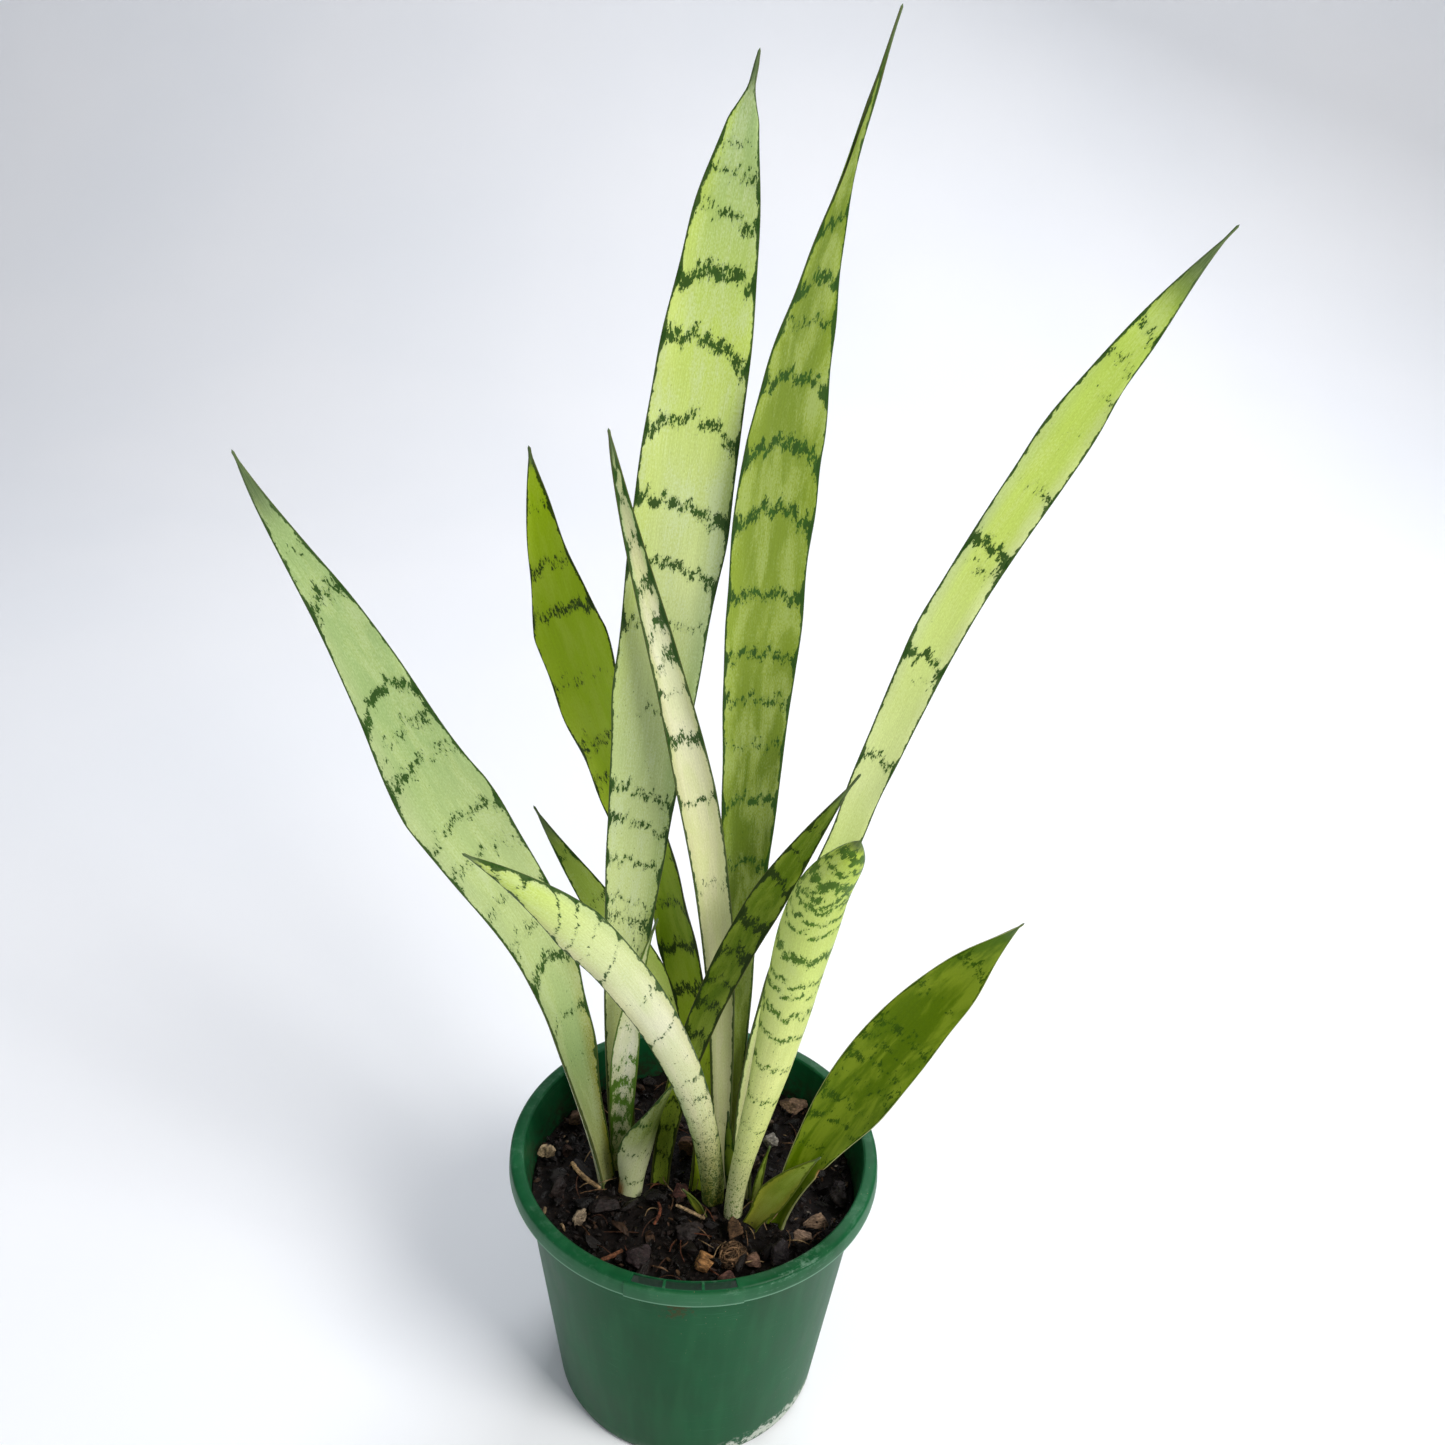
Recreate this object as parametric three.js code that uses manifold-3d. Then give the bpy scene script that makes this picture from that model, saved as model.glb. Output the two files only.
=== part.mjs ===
// A snake plant (Dracaena trifasciata) in a plain moulded nursery pot.
// Millimetres, +Z up. The origin is the middle of the pot's flat underside, +X is to the right
// and the front of the pot, where the label slot is, faces -Y.
import * as THREE from 'three';
import { mergeVertices } from 'three/addons/utils/BufferGeometryUtils.js';
import Module from 'manifold-3d';

const wasm = await Module();
wasm.setup();

// ---------------------------------------------------------------- driving dimensions

// Pot
const potHeight = 114;
const baseRadius = 53;
const rimRadius = 71;
const rimDepth = 6.5;
const rimWidth = 5.2;
const wallThickness = 0.9;
const skirtThickness = 0.9;
const webThickness = 1.2;
const floorThickness = 1.6;
const lipFlare = 0.5;
const drainHoleRadius = 4.5;
const drainHoleCount = 8;
const drainRing = 41;

// Label slot: three open cells through the top of the rim, at the front
const slotStart = -16.5;
const slotEnd = 14.5;
const slotRibs = [-6.8, 4.6];
const slotRibWidth = 1.0;
const padMargin = 1.6;
const padProud = 0.45;

// Potting mix
const soilDepth = 18;
const soilRoughness = 1.0;
const fit = 0.3;
const layoutRim = 71; // the rim radius that the places of the chips and litter are given for

// Plant
const leafScale = 1;
const buried = 9;
const tipWidth = 0.9;
const tipThickness = 0.7;
const shootLeft = [-27, 0];
const shootRight = [13, -10];
const frontLeftBark = [-20, -43];

const roundSteps = 48;

// ---------------------------------------------------------------- what follows from them

const soilLevel = potHeight - soilDepth;
const rimInnerRadius = rimRadius - rimWidth;
const wallTopRadius = rimInnerRadius + wallThickness;
const skirtInner = rimRadius - skirtThickness;
const spread = rimRadius / layoutRim;

// A point on the mix: its place for the layout rim, or its offset from what it lies beside.
function onMix([x, y], beside) {
  if (!beside) return [x * spread, y * spread];
  return [beside[0] * spread + x, beside[1] * spread + y];
}

// ---------------------------------------------------------------- solids and nodes

const group = new THREE.Group();

function toSolid(geometry) {
  const plain = geometry.index ? geometry.toNonIndexed() : geometry.clone();
  plain.deleteAttribute('normal');
  plain.deleteAttribute('uv');
  const welded = mergeVertices(plain, 1e-4);
  const mesh = new wasm.Mesh({
    numProp: 3,
    vertProperties: new Float32Array(welded.attributes.position.array),
    triVerts: new Uint32Array(welded.index.array),
  });
  return new wasm.Manifold(mesh);
}

function toGeometry(solid) {
  const mesh = solid.getMesh();
  const geometry = new THREE.BufferGeometry();
  geometry.setAttribute('position', new THREE.BufferAttribute(mesh.vertProperties, 3));
  geometry.setIndex(new THREE.BufferAttribute(mesh.triVerts, 1));
  geometry.computeVertexNormals();
  return geometry;
}

function addNode(name, geometry, look) {
  const material = new THREE.MeshStandardMaterial({ metalness: 0, ...look });
  const mesh = new THREE.Mesh(geometry, material);
  mesh.name = name;
  group.add(mesh);
  return mesh;
}

// A lathed body about +Z from (radius, height) points.
function lathe(points, segments = roundSteps) {
  const profile = points.map(([radius, height]) => new THREE.Vector2(radius, height));
  const geometry = new THREE.LatheGeometry(profile, segments);
  geometry.rotateX(Math.PI / 2);
  return geometry;
}

// A piece of a ring at the front of the pot, between two angles in degrees from -Y towards +X.
function frontArc(inner, outer, low, high, from, to) {
  const start = THREE.MathUtils.degToRad(from - 90);
  const end = THREE.MathUtils.degToRad(to - 90);
  const shape = new THREE.Shape();
  shape.absarc(0, 0, outer, start, end, false);
  shape.absarc(0, 0, inner, end, start, true);
  shape.closePath();
  const geometry = new THREE.ExtrudeGeometry(shape, {
    depth: high - low,
    bevelEnabled: false,
    curveSegments: 6,
  });
  geometry.translate(0, 0, low);
  return geometry;
}

// ---------------------------------------------------------------- pot

const outerWall = [
  [0, 0],
  [baseRadius - 2.5, 0],
  [baseRadius - 0.8, 0.7],
  [baseRadius, 2.6],
];
const rimProfile = [
  [wallTopRadius, potHeight - webThickness],
  [skirtInner, potHeight - webThickness],
  [skirtInner + lipFlare, potHeight - rimDepth],
  [rimRadius + lipFlare, potHeight - rimDepth],
  [rimRadius, potHeight - 1.3],
  [rimRadius - 0.9, potHeight - 0.25],
  [rimRadius - 2, potHeight],
  [rimInnerRadius + 0.7, potHeight],
  [rimInnerRadius, potHeight - 0.6],
];
const innerWall = [
  [baseRadius - wallThickness, floorThickness + 3],
  [baseRadius - wallThickness - 2.5, floorThickness],
  [0, floorThickness],
];

function makePot() {
  let pot = toSolid(lathe([...outerWall, ...rimProfile, ...innerWall]));
  const pad = frontArc(
    skirtInner + lipFlare + 0.1,
    rimRadius + lipFlare + padProud,
    potHeight - rimDepth,
    potHeight - 0.5,
    slotStart - padMargin,
    slotEnd + padMargin,
  );
  pot = pot.add(toSolid(pad));
  const halfRib = THREE.MathUtils.radToDeg(slotRibWidth / 2 / rimRadius);
  const starts = [slotStart, ...slotRibs.map((angle) => angle + halfRib)];
  const ends = [...slotRibs.map((angle) => angle - halfRib), slotEnd];
  starts.forEach((from, i) => {
    const cell = frontArc(
      wallTopRadius,
      skirtInner,
      potHeight - webThickness - 1,
      potHeight + 1,
      from,
      ends[i],
    );
    pot = pot.subtract(toSolid(cell));
  });
  for (let i = 0; i < drainHoleCount; i += 1) {
    const angle = (i + 0.5) * ((2 * Math.PI) / drainHoleCount);
    const hole = new THREE.CylinderGeometry(drainHoleRadius, drainHoleRadius, 6, 14);
    hole.rotateX(Math.PI / 2);
    hole.translate(drainRing * Math.cos(angle), drainRing * Math.sin(angle), 0);
    pot = pot.subtract(toSolid(hole));
  }
  return pot;
}

addNode('nursery_pot', toGeometry(makePot()), { color: '#1f6a43', roughness: 0.42 });

// ---------------------------------------------------------------- leaves

// Reads a list of evenly spaced values at a share s of the way along, as one smooth curve.
function along(values, s) {
  const last = values.length - 1;
  let sum = 0;
  values.forEach((value, i) => {
    let weight = 1;
    values.forEach((_, j) => {
      if (j !== i) weight *= (s - j / last) / ((i - j) / last);
    });
    sum += value * weight;
  });
  return sum;
}

const rad = THREE.MathUtils.degToRad;
const forward = new THREE.Vector3(0, -1, 0);

// Width across the flattened blade at s. width is [at the foot, at the widest, where that is,
// how late the taper starts, how slender the tip is].
function bladeWidth(leaf, s) {
  const [foot, widest, where, late, slender] = leaf.width;
  if (s <= 0) return foot;
  if (s < where) {
    const a = s / where;
    return foot + (widest - foot) * a * a * (3 - 2 * a);
  }
  const b = Math.min((s - where) / (1 - where), 1);
  return Math.max(widest * (1 - b ** late) ** slender, tipWidth);
}

function bladeThickness(leaf, s) {
  const [foot, tip] = leaf.thick;
  const plain = foot + (tip - foot) * Math.max(s, 0);
  return Math.max(Math.min(plain, bladeWidth(leaf, s) * 0.7), tipThickness);
}

// The midrib as a list of points and directions, by walking along the leaf.
const spineSteps = 48;
function spine(leaf) {
  const length = leaf.length * leafScale;
  const directions = [];
  for (let i = 0; i <= spineSteps; i += 1) {
    const s = i / spineSteps;
    const x = Math.sin(rad(along(leaf.right, s)));
    const y = Math.sin(rad(along(leaf.back, s)));
    const z = Math.sqrt(Math.max(1 - x * x - y * y, 0.02));
    directions.push(new THREE.Vector3(x, y, z).normalize());
  }
  const points = [new THREE.Vector3(...onMix(leaf.foot, leaf.shoot), soilLevel)];
  for (let i = 0; i < spineSteps; i += 1) {
    const step = directions[i].clone().add(directions[i + 1]).normalize();
    points.push(points[i].clone().addScaledVector(step, length / spineSteps));
  }
  return { points, directions, length };
}

function stationAt(leaf, line, s) {
  const at = Math.min(Math.max(s, 0), 1) * spineSteps;
  const i = Math.min(Math.floor(at), spineSteps - 1);
  const middle = line.points[i].clone().lerp(line.points[i + 1], at - i);
  const way = line.directions[i].clone().lerp(line.directions[i + 1], at - i).normalize();
  if (s < 0) middle.addScaledVector(way, s * line.length);
  const face = forward.clone().addScaledVector(way, -forward.dot(way)).normalize();
  const side = way.clone().cross(face);
  const turn = rad(along(leaf.facing, Math.max(s, 0)));
  const normal = face.clone().multiplyScalar(Math.cos(turn)).addScaledVector(side, Math.sin(turn));
  const across = side.multiplyScalar(Math.cos(turn)).addScaledVector(face, -Math.sin(turn));
  const [size, waves, phase] = leaf.wave ?? [0, 1, 0];
  const swing = Math.min(Math.max(4 * s * (1 - s), 0), 1);
  middle.addScaledVector(across, size * swing * Math.sin(2 * Math.PI * (waves * s + phase)));
  return { middle, normal, across };
}

// A channelled blade: a closed tube of lens-shaped sections, bent round the channel. stations
// are the shares of the length where its sections lie, below zero in the mix, and grow makes
// every section fatter, for the socket that it stands in.
const bladeSides = 10;
function blade(leaf, stations, grow = 0) {
  const line = spine(leaf);
  const rows = stations.length - 1;
  const geometry = new THREE.CylinderGeometry(1, 1, 1, bladeSides, rows);
  const position = geometry.attributes.position;
  for (let i = 0; i < position.count; i += 1) {
    const s = stations[Math.round((position.getY(i) + 0.5) * rows)];
    const { middle, normal, across } = stationAt(leaf, line, s);
    const fold = rad(Math.max(along(leaf.fold, Math.max(s, 0)), 1));
    const half = bladeWidth(leaf, s) / 2;
    const bend = half / fold;
    const u = position.getX(i) * (1 + grow / half);
    const v = position.getZ(i) * (bladeThickness(leaf, s) / 2 + grow);
    const turn = u * fold;
    middle.addScaledVector(across, (bend - v) * Math.sin(turn));
    middle.addScaledVector(normal, bend - (bend - v) * Math.cos(turn));
    position.setXYZ(i, middle.x, middle.y, middle.z);
  }
  return geometry;
}

// Every leaf, sheath and bract. foot is its place on the mix from the middle of its shoot;
// right and back are its lean in degrees, read from the foot to the tip; facing turns the inner
// face from the front towards the right; fold is half the angle of the channel.
const leaves = [
  {
    name: 'leaf_left_long', shoot: shootLeft, foot: [-8.5, -2], length: 312,
    right: [-6, -19, -27.5, -20.5], back: [0, 0, -4],
    width: [11, 31, 0.58, 1, 0.9], wave: [-2.8, 2, 0.05],
    facing: [60, 30, 15], fold: [80, 30, 15], thick: [2.4, 1.4],
    color: '#8fae74', rows: 18,
  },
  {
    name: 'leaf_tall_left', shoot: shootLeft, foot: [-1, 12], length: 405,
    right: [-4.5, 4.5, 6.5, 10], back: [1, 2, 3],
    width: [12, 31, 0.68, 2.2, 0.9],
    facing: [0, 0, -10], fold: [75, 20, 15], thick: [2.6, 1.5],
    color: '#a9bd83', rows: 21,
  },
  {
    name: 'leaf_tall_right', shoot: shootRight, foot: [1, 13], length: 419,
    right: [1, -0.5, 6, 16.5], back: [4, 3, 4],
    width: [9, 28, 0.7, 1.3, 1.9], wave: [1.7, 1.3, -0.29],
    facing: [0, 10, 50], fold: [75, 25, 15], thick: [2.4, 1.4],
    color: '#8fac5c', rows: 21,
  },
  {
    name: 'leaf_right_long', shoot: shootRight, foot: [6.5, 4], length: 393,
    right: [-4, 17.5, 25, 40.5], back: [8, 8, 5],
    width: [9, 17, 0.78, 1.9, 1.3], wave: [-1.6, 2, 0],
    facing: [-10, -10, -25], fold: [75, 25, 15], thick: [2.4, 1.3],
    color: '#9dbf63', rows: 21,
  },
  {
    name: 'leaf_back_left', shoot: shootRight, foot: [-11.5, 7.5], length: 293,
    right: [8, -16, -21, -5.5], back: [16, 14, 3],
    width: [9, 32, 0.77, 1, 1.1],
    facing: [20, -30, 0], fold: [75, 25, 15], thick: [2.2, 1.3],
    color: '#5f8a2a', rows: 20,
  },
  {
    name: 'leaf_centre_cream', shoot: shootRight, foot: [-2, 8], length: 301,
    right: [-3.5, -5, -14, -10], back: [4, 3, 0],
    width: [9, 16, 0.58, 1, 0.7],
    facing: [10, 10, 10], fold: [75, 60, 45], thick: [2.2, 1.2],
    color: '#c3cfa8', rows: 16,
  },
  {
    name: 'leaf_rolled_young', shoot: shootRight, foot: [2.7, -8], length: 197,
    right: [1.5, 10, 4.5, 20], back: [-5, -9, -10],
    width: [9, 31, 0.75, 2, 0.9],
    facing: [170, 190, 150], fold: [80, 95, 95], thick: [2.2, 1.2],
    color: '#a7c04f', rows: 20,
  },
  {
    name: 'leaf_dark_right', shoot: shootLeft, foot: [14, 0], length: 204,
    right: [3.5, 13.5, 22.5, 31.5], back: [-3, -4, -1],
    width: [9, 13, 0.68, 1.8, 1.4],
    facing: [0, -25, -10], fold: [75, 35, 25], thick: [2.2, 1.2],
    color: '#4d6f2c', rows: 18,
  },
  {
    name: 'leaf_front_left', shoot: shootRight, foot: [-4.5, -1.5], length: 236,
    right: [-2.5, -13, -23, -38], back: [-10, -20, -25],
    width: [11, 16, 0.77, 1, 0.9],
    facing: [190, 205, 200], fold: [75, 30, 30], thick: [2.4, 1.2],
    color: '#b5c59b', rows: 20,
  },
  {
    name: 'leaf_small_left', shoot: shootRight, foot: [-8.5, 16.5], length: 162,
    right: [-5.5, -23.5, -35.5, -29], back: [20, 18, 8],
    width: [9, 17, 0.53, 1.4, 1],
    facing: [20, 20, 10], fold: [70, 30, 20], thick: [2, 1.2],
    color: '#64824a', rows: 14,
  },
  {
    name: 'leaf_small_right', shoot: shootRight, foot: [20, -10], length: 157,
    right: [10.5, 27, 33, 49], back: [2, 4, 6],
    width: [9, 26, 0.5, 2.3, 1.1],
    facing: [-30, -25, -15], fold: [70, 25, 20], thick: [2.4, 1.2],
    color: '#4f7d1e', rows: 16,
  },
  {
    name: 'leaf_young_mottled', shoot: shootLeft, foot: [-2, 4.5], length: 124,
    right: [1, 2, 8, 16], back: [-1, -2, -3],
    width: [6, 10, 0.45, 1.4, 1.4],
    facing: [0, 0, 0], fold: [60, 50, 40], thick: [1.8, 1.1],
    color: '#c2d2a2', rows: 12,
  },
  {
    name: 'sheath_left', shoot: shootLeft, foot: [4.5, -8.5], length: 60,
    right: [6, 14, 22], back: [-1, -2, -1],
    width: [14, 21, 0.35, 1.3, 1],
    facing: [-110, -95, -90], fold: [85, 70, 45], thick: [1.8, 1],
    color: '#8d9f76', rows: 10,
  },
  {
    name: 'sheath_yellow', shoot: shootRight, foot: [11.5, -10.5], length: 46,
    right: [22, 28, 34], back: [-3, -9, -13],
    width: [8, 13, 0.35, 1.4, 1.1],
    facing: [-40, -35, -30], fold: [65, 50, 35], thick: [1.6, 1],
    color: '#9aa82f', rows: 9,
  },
  {
    name: 'bract_dark', shoot: shootRight, foot: [3, -1.5], length: 44,
    right: [-7, -5, -3], back: [3, 2, 1],
    width: [4, 5, 0.35, 1.6, 1],
    facing: [180, 180, 180], fold: [40, 35, 30], thick: [1.2, 0.9],
    color: '#3f6a25', rows: 7,
  },
  {
    name: 'bract_tip_small', shoot: shootRight, foot: [-9.5, -7], length: 14,
    right: [-20, -30, -38], back: [-4, -6, -8],
    width: [4, 4.5, 0.3, 1.5, 1],
    facing: [-20, -20, -20], fold: [40, 35, 30], thick: [1.2, 0.9],
    color: '#7f9a35', rows: 5,
  },
  {
    name: 'bract_spike_small', shoot: shootRight, foot: [11, -3.5], length: 31,
    right: [4, 8, 13], back: [0, 0, 0],
    width: [3.4, 3.6, 0.3, 1.5, 1],
    facing: [-20, -20, -20], fold: [40, 35, 30], thick: [1.6, 0.9],
    color: '#a3b53a', rows: 6,
  },
];

const sockets = [];
leaves.forEach((leaf) => {
  const length = leaf.length * leafScale;
  const above = Array.from({ length: leaf.rows + 1 }, (_, i) => i / leaf.rows);
  const geometry = blade(leaf, [-buried / length, ...above]);
  addNode(leaf.name, geometry, { color: leaf.color, roughness: 0.45 });
  const socket = blade(leaf, [-(buried + fit) / length, 0, 1 / leaf.rows], fit * 2);
  sockets.push(toSolid(socket));
});

// ---------------------------------------------------------------- chips and litter on the mix

// The mix is a little uneven: its height above its level at a point.
function unevenness(x, y) {
  const wave = Math.sin(x * 0.19 + 1.3) + Math.sin(y * 0.23 - 0.7) + Math.sin((x + y) * 0.11);
  return (soilRoughness * wave) / 2;
}

// A split, angular piece of bark: a coarse ball pulled out of shape.
function chipGeometry(chip, seed, grow = 0) {
  const geometry = new THREE.IcosahedronGeometry(1, 0);
  const position = geometry.attributes.position;
  const [length, depth, height] = chip.size;
  for (let i = 0; i < position.count; i += 1) {
    const [x, y, z] = [position.getX(i), position.getY(i), position.getZ(i)];
    const pull = 1 + 0.16 * Math.sin(5.1 * x + 3.7 * y + 4.3 * z + seed);
    position.setXYZ(
      i,
      x * pull * (length / 2 + grow),
      y * pull * (depth / 2 + grow),
      z * pull * (height / 2 + grow),
    );
  }
  geometry.rotateX(rad(chip.tilt ?? 12));
  geometry.rotateZ(rad(chip.turn ?? 0));
  const [x, y] = onMix(chip.at, chip.beside);
  const sunk = chip.size[2] * 0.22;
  geometry.translate(x, y, soilLevel + unevenness(x, y) + sunk);
  return geometry;
}

const chips = [
  { name: 'chip_tan_left', at: [-58.5, 8], size: [9, 6, 6], turn: 70, color: '#a08a6c' },
  { name: 'chip_brown_centre', beside: shootRight, at: [-16.5, 23], size: [7, 7, 12], turn: 0, color: '#5a4030' },
  { name: 'chip_tan_right_back', at: [48, -21], size: [9, 6, 6], turn: 20, color: '#8a715c' },
  { name: 'chip_tan_right_front', beside: shootRight, at: [28, -19.5], size: [8, 7, 5], turn: -30, color: '#6f5a4a' },
  { name: 'chip_grey_back', at: [31, 21], size: [6, 5, 6], turn: 35, color: '#8d8780' },
  { name: 'chip_back_right', at: [41, 41], size: [12, 7, 5], turn: -15, color: '#7d6552' },
  { name: 'chip_back_far', at: [31, 50], size: [9, 6, 5], turn: 30, color: '#5b4a3e' },
  { name: 'chip_wedge_front', at: [6, -45], size: [9, 7, 6], turn: -25, color: '#9a6f45' },
  { name: 'chip_brown_front', at: [14, -50], size: [7, 5, 5], turn: 10, color: '#5d4038' },
  { name: 'chip_round_front', at: [24, -40], size: [6.5, 6, 5], turn: 0, color: '#75594a' },
  { name: 'chip_pale_left_front', at: [-42, -23], size: [7, 4, 4], turn: 65, color: '#8c7b66' },
  { name: 'chip_left_back', at: [-50, 30], size: [8, 6, 5], turn: 40, color: '#5a4537' },
  { name: 'chip_red_centre', beside: shootRight, at: [-18, 2], size: [6, 6, 4], turn: 0, color: '#4d2f28' },
  { name: 'bark_left_mid', at: [-33, -19], size: [10, 8, 7], turn: 25, color: '#241c1b' },
  { name: 'bark_front_left', beside: frontLeftBark, at: [0, 0], size: [13, 9, 8], turn: -20, color: '#2a2021' },
  { name: 'bark_left_edge', at: [-52, -10], size: [9, 7, 6], turn: 80, color: '#231b19' },
  { name: 'bark_front_mid', at: [0, -29], size: [9, 8, 6], turn: 15, color: '#27201f' },
  { name: 'bark_front_right', at: [34, -39], size: [7, 10, 7], turn: -15, color: '#2c2628' },
  { name: 'bark_right_edge', at: [57, -5], size: [7, 11, 6], turn: 10, color: '#2a2322' },
  { name: 'bark_right_back', at: [46, 8], size: [10, 8, 6], turn: 40, color: '#292120' },
  { name: 'bark_back_left', at: [-34, 40], size: [11, 8, 6], turn: -35, color: '#251e1c' },
  { name: 'bark_back_mid', at: [3, 49], size: [12, 8, 6], turn: 15, color: '#28201e' },
  { name: 'crown_stub', at: [16, -27.5], size: [6, 9, 8], turn: 0, tilt: -20, color: '#4b372a' },
  { name: 'root_clump', at: [16, -40], size: [9, 10, 7], turn: 10, color: '#6b5138' },
];

// Thin litter: a length of twig, straw or root lying in a shallow groove.
function litterGeometry(piece, grow = 0) {
  const points = piece.path.map(([across, back, lift]) => {
    const [x, y] = onMix([across, back], piece.beside);
    return new THREE.Vector3(x, y, soilLevel + unevenness(x, y) + piece.thick / 2 + lift);
  });
  if (grow > 0) {
    const first = points[0].clone().sub(points[1]).setLength(grow);
    const end = points.length - 1;
    const last = points[end].clone().sub(points[end - 1]).setLength(grow);
    points[0].add(first);
    points[end].add(last);
  }
  const shape = new THREE.Shape();
  shape.absarc(0, 0, piece.thick / 2 + grow * 1.15, 0, Math.PI * 2, false);
  return new THREE.ExtrudeGeometry(shape, {
    steps: 8,
    curveSegments: 3,
    bevelEnabled: false,
    extrudePath: new THREE.CatmullRomCurve3(points),
  });
}

const litter = [
  {
    name: 'twig_left', beside: shootLeft, thick: 1.8, color: '#93785a',
    path: [[-21, 3, 1.4], [-17, -2, 0.6], [-9, -9, -0.2]],
  },
  {
    name: 'twig_front_left', beside: frontLeftBark, thick: 1.6, color: '#8d5535',
    path: [[-12, -2, 1.2], [-8, 1.5, 0.2], [-5, 5, -0.4]],
  },
  {
    name: 'straw_centre', beside: shootRight, thick: 1.3, color: '#8a7258',
    path: [[-19, -6.5, 0.9], [-14, -9, 0.6], [-8, -11.5, -0.2]],
  },
  {
    name: 'root_fibre_red', thick: 1.2, color: '#9c4f2c',
    path: [[-14, -25, -0.2], [-12, -20, 0.8], [-13, -15.5, 1.2]],
  },
];

// ---------------------------------------------------------------- potting mix

function makeMix() {
  const slope = (wallTopRadius - baseRadius) / (potHeight - webThickness - 2.6);
  const inner = (z) => baseRadius - wallThickness + slope * (z - floorThickness - 3) - fit;
  const rings = 5;
  const points = [
    [0, floorThickness + fit],
    [baseRadius - wallThickness - 2.5 - fit, floorThickness + fit],
    [inner(floorThickness + 3) - 0.1, floorThickness + 3 + fit],
    [inner(soilLevel - 2.5) - 0.2, soilLevel - 2.5],
  ];
  for (let i = 0; i < rings; i += 1) {
    points.push([(inner(soilLevel) - 1.5) * (1 - i / rings), soilLevel]);
  }
  points.push([0, soilLevel]);
  const geometry = lathe(points);
  const position = geometry.attributes.position;
  for (let i = 0; i < position.count; i += 1) {
    const [x, y, z] = [position.getX(i), position.getY(i), position.getZ(i)];
    if (z > soilLevel - 0.01) position.setZ(i, z + unevenness(x, y));
  }
  let mix = toSolid(geometry);
  sockets.forEach((socket) => {
    mix = mix.subtract(socket);
  });
  chips.forEach((chip, i) => {
    mix = mix.subtract(toSolid(chipGeometry(chip, i, fit * 1.4)));
  });
  litter.forEach((piece) => {
    mix = mix.subtract(toSolid(litterGeometry(piece, fit)));
  });
  return mix;
}

chips.forEach((chip, i) => {
  addNode(chip.name, chipGeometry(chip, i), { color: chip.color, roughness: 0.85 });
});
litter.forEach((piece) => {
  addNode(piece.name, litterGeometry(piece), { color: piece.color, roughness: 0.85 });
});
addNode('potting_mix', toGeometry(makeMix()), { color: '#1d1715', roughness: 0.9 });

export default group;
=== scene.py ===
"""Looks for the potted snake plant: fine leaves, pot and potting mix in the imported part's frame.

Shapes are given in millimetres and turned into metres when each mesh is made.
"""

import math

import bmesh
import bpy
import numpy as np
from mathutils import Matrix, Vector, noise
from mathutils.kdtree import KDTree


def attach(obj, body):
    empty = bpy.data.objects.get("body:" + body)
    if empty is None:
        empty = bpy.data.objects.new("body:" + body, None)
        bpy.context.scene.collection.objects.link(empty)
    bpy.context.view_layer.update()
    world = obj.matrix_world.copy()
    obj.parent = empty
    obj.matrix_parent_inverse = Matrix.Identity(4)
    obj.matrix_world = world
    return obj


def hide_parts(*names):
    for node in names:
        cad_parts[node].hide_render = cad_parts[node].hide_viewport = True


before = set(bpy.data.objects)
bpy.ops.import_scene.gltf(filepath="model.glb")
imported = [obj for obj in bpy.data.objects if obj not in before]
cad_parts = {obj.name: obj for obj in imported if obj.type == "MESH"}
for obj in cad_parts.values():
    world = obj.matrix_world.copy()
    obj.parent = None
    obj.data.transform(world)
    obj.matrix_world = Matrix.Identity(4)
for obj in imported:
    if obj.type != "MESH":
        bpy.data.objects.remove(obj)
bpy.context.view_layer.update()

MM = 0.001

# ---------------------------------------------------------------- sizes shared with the part

POT_HEIGHT = 114
BASE_RADIUS = 53
RIM_RADIUS = 71
RIM_DEPTH = 6.5
RIM_WIDTH = 5.2
WALL = 0.9
SKIRT = 0.9
WEB = 1.2
FLOOR = 1.6
LIP_FLARE = 0.5
FOOT_HEIGHT = 2.6
EDGE_ROUNDING = 0.22
DRAIN_RADIUS = 4.5
DRAIN_RING = 41
DRAIN_HOLES = 8
SLOT_FROM, SLOT_TO = -16.5, 14.5
SLOT_RIBS = (-6.8, 4.6)
RIB_WIDTH = 1.0
PAD_MARGIN = 1.6
PAD_PROUD = 0.45
SOIL_LEVEL = 96
BED_DROP = 1.6
BURIED = 9
TIP_WIDTH = 0.9
TIP_THICKNESS = 0.7
SHOOT_LEFT = (-27, 0)
SHOOT_RIGHT = (13, -10)
FRONT_LEFT_BARK = (-20, -43)

RIM_INNER = RIM_RADIUS - RIM_WIDTH
WALL_TOP = RIM_INNER + WALL
SKIRT_INNER = RIM_RADIUS - SKIRT
WALL_SLOPE = (WALL_TOP - BASE_RADIUS) / (POT_HEIGHT - WEB - FOOT_HEIGHT)


def unevenness(x, y):
    """How far the mix lies above its level at a point."""
    return (np.sin(x * 0.19 + 1.3) + np.sin(y * 0.23 - 0.7) + np.sin((x + y) * 0.11)) / 2


# ---------------------------------------------------------------- small helpers


def linear(code):
    """A colour such as "8fae74" as linear red, green and blue."""
    parts = [int(code[i : i + 2], 16) / 255 for i in (0, 2, 4)]
    return np.array([p / 12.92 if p <= 0.04045 else ((p + 0.055) / 1.055) ** 2.4 for p in parts])


def rgba(code):
    return (*linear(code), 1.0)


def ease(low, high, x):
    t = np.clip((np.asarray(x, float) - low) / (high - low), 0, 1)
    return t * t * (3 - 2 * t)


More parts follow.
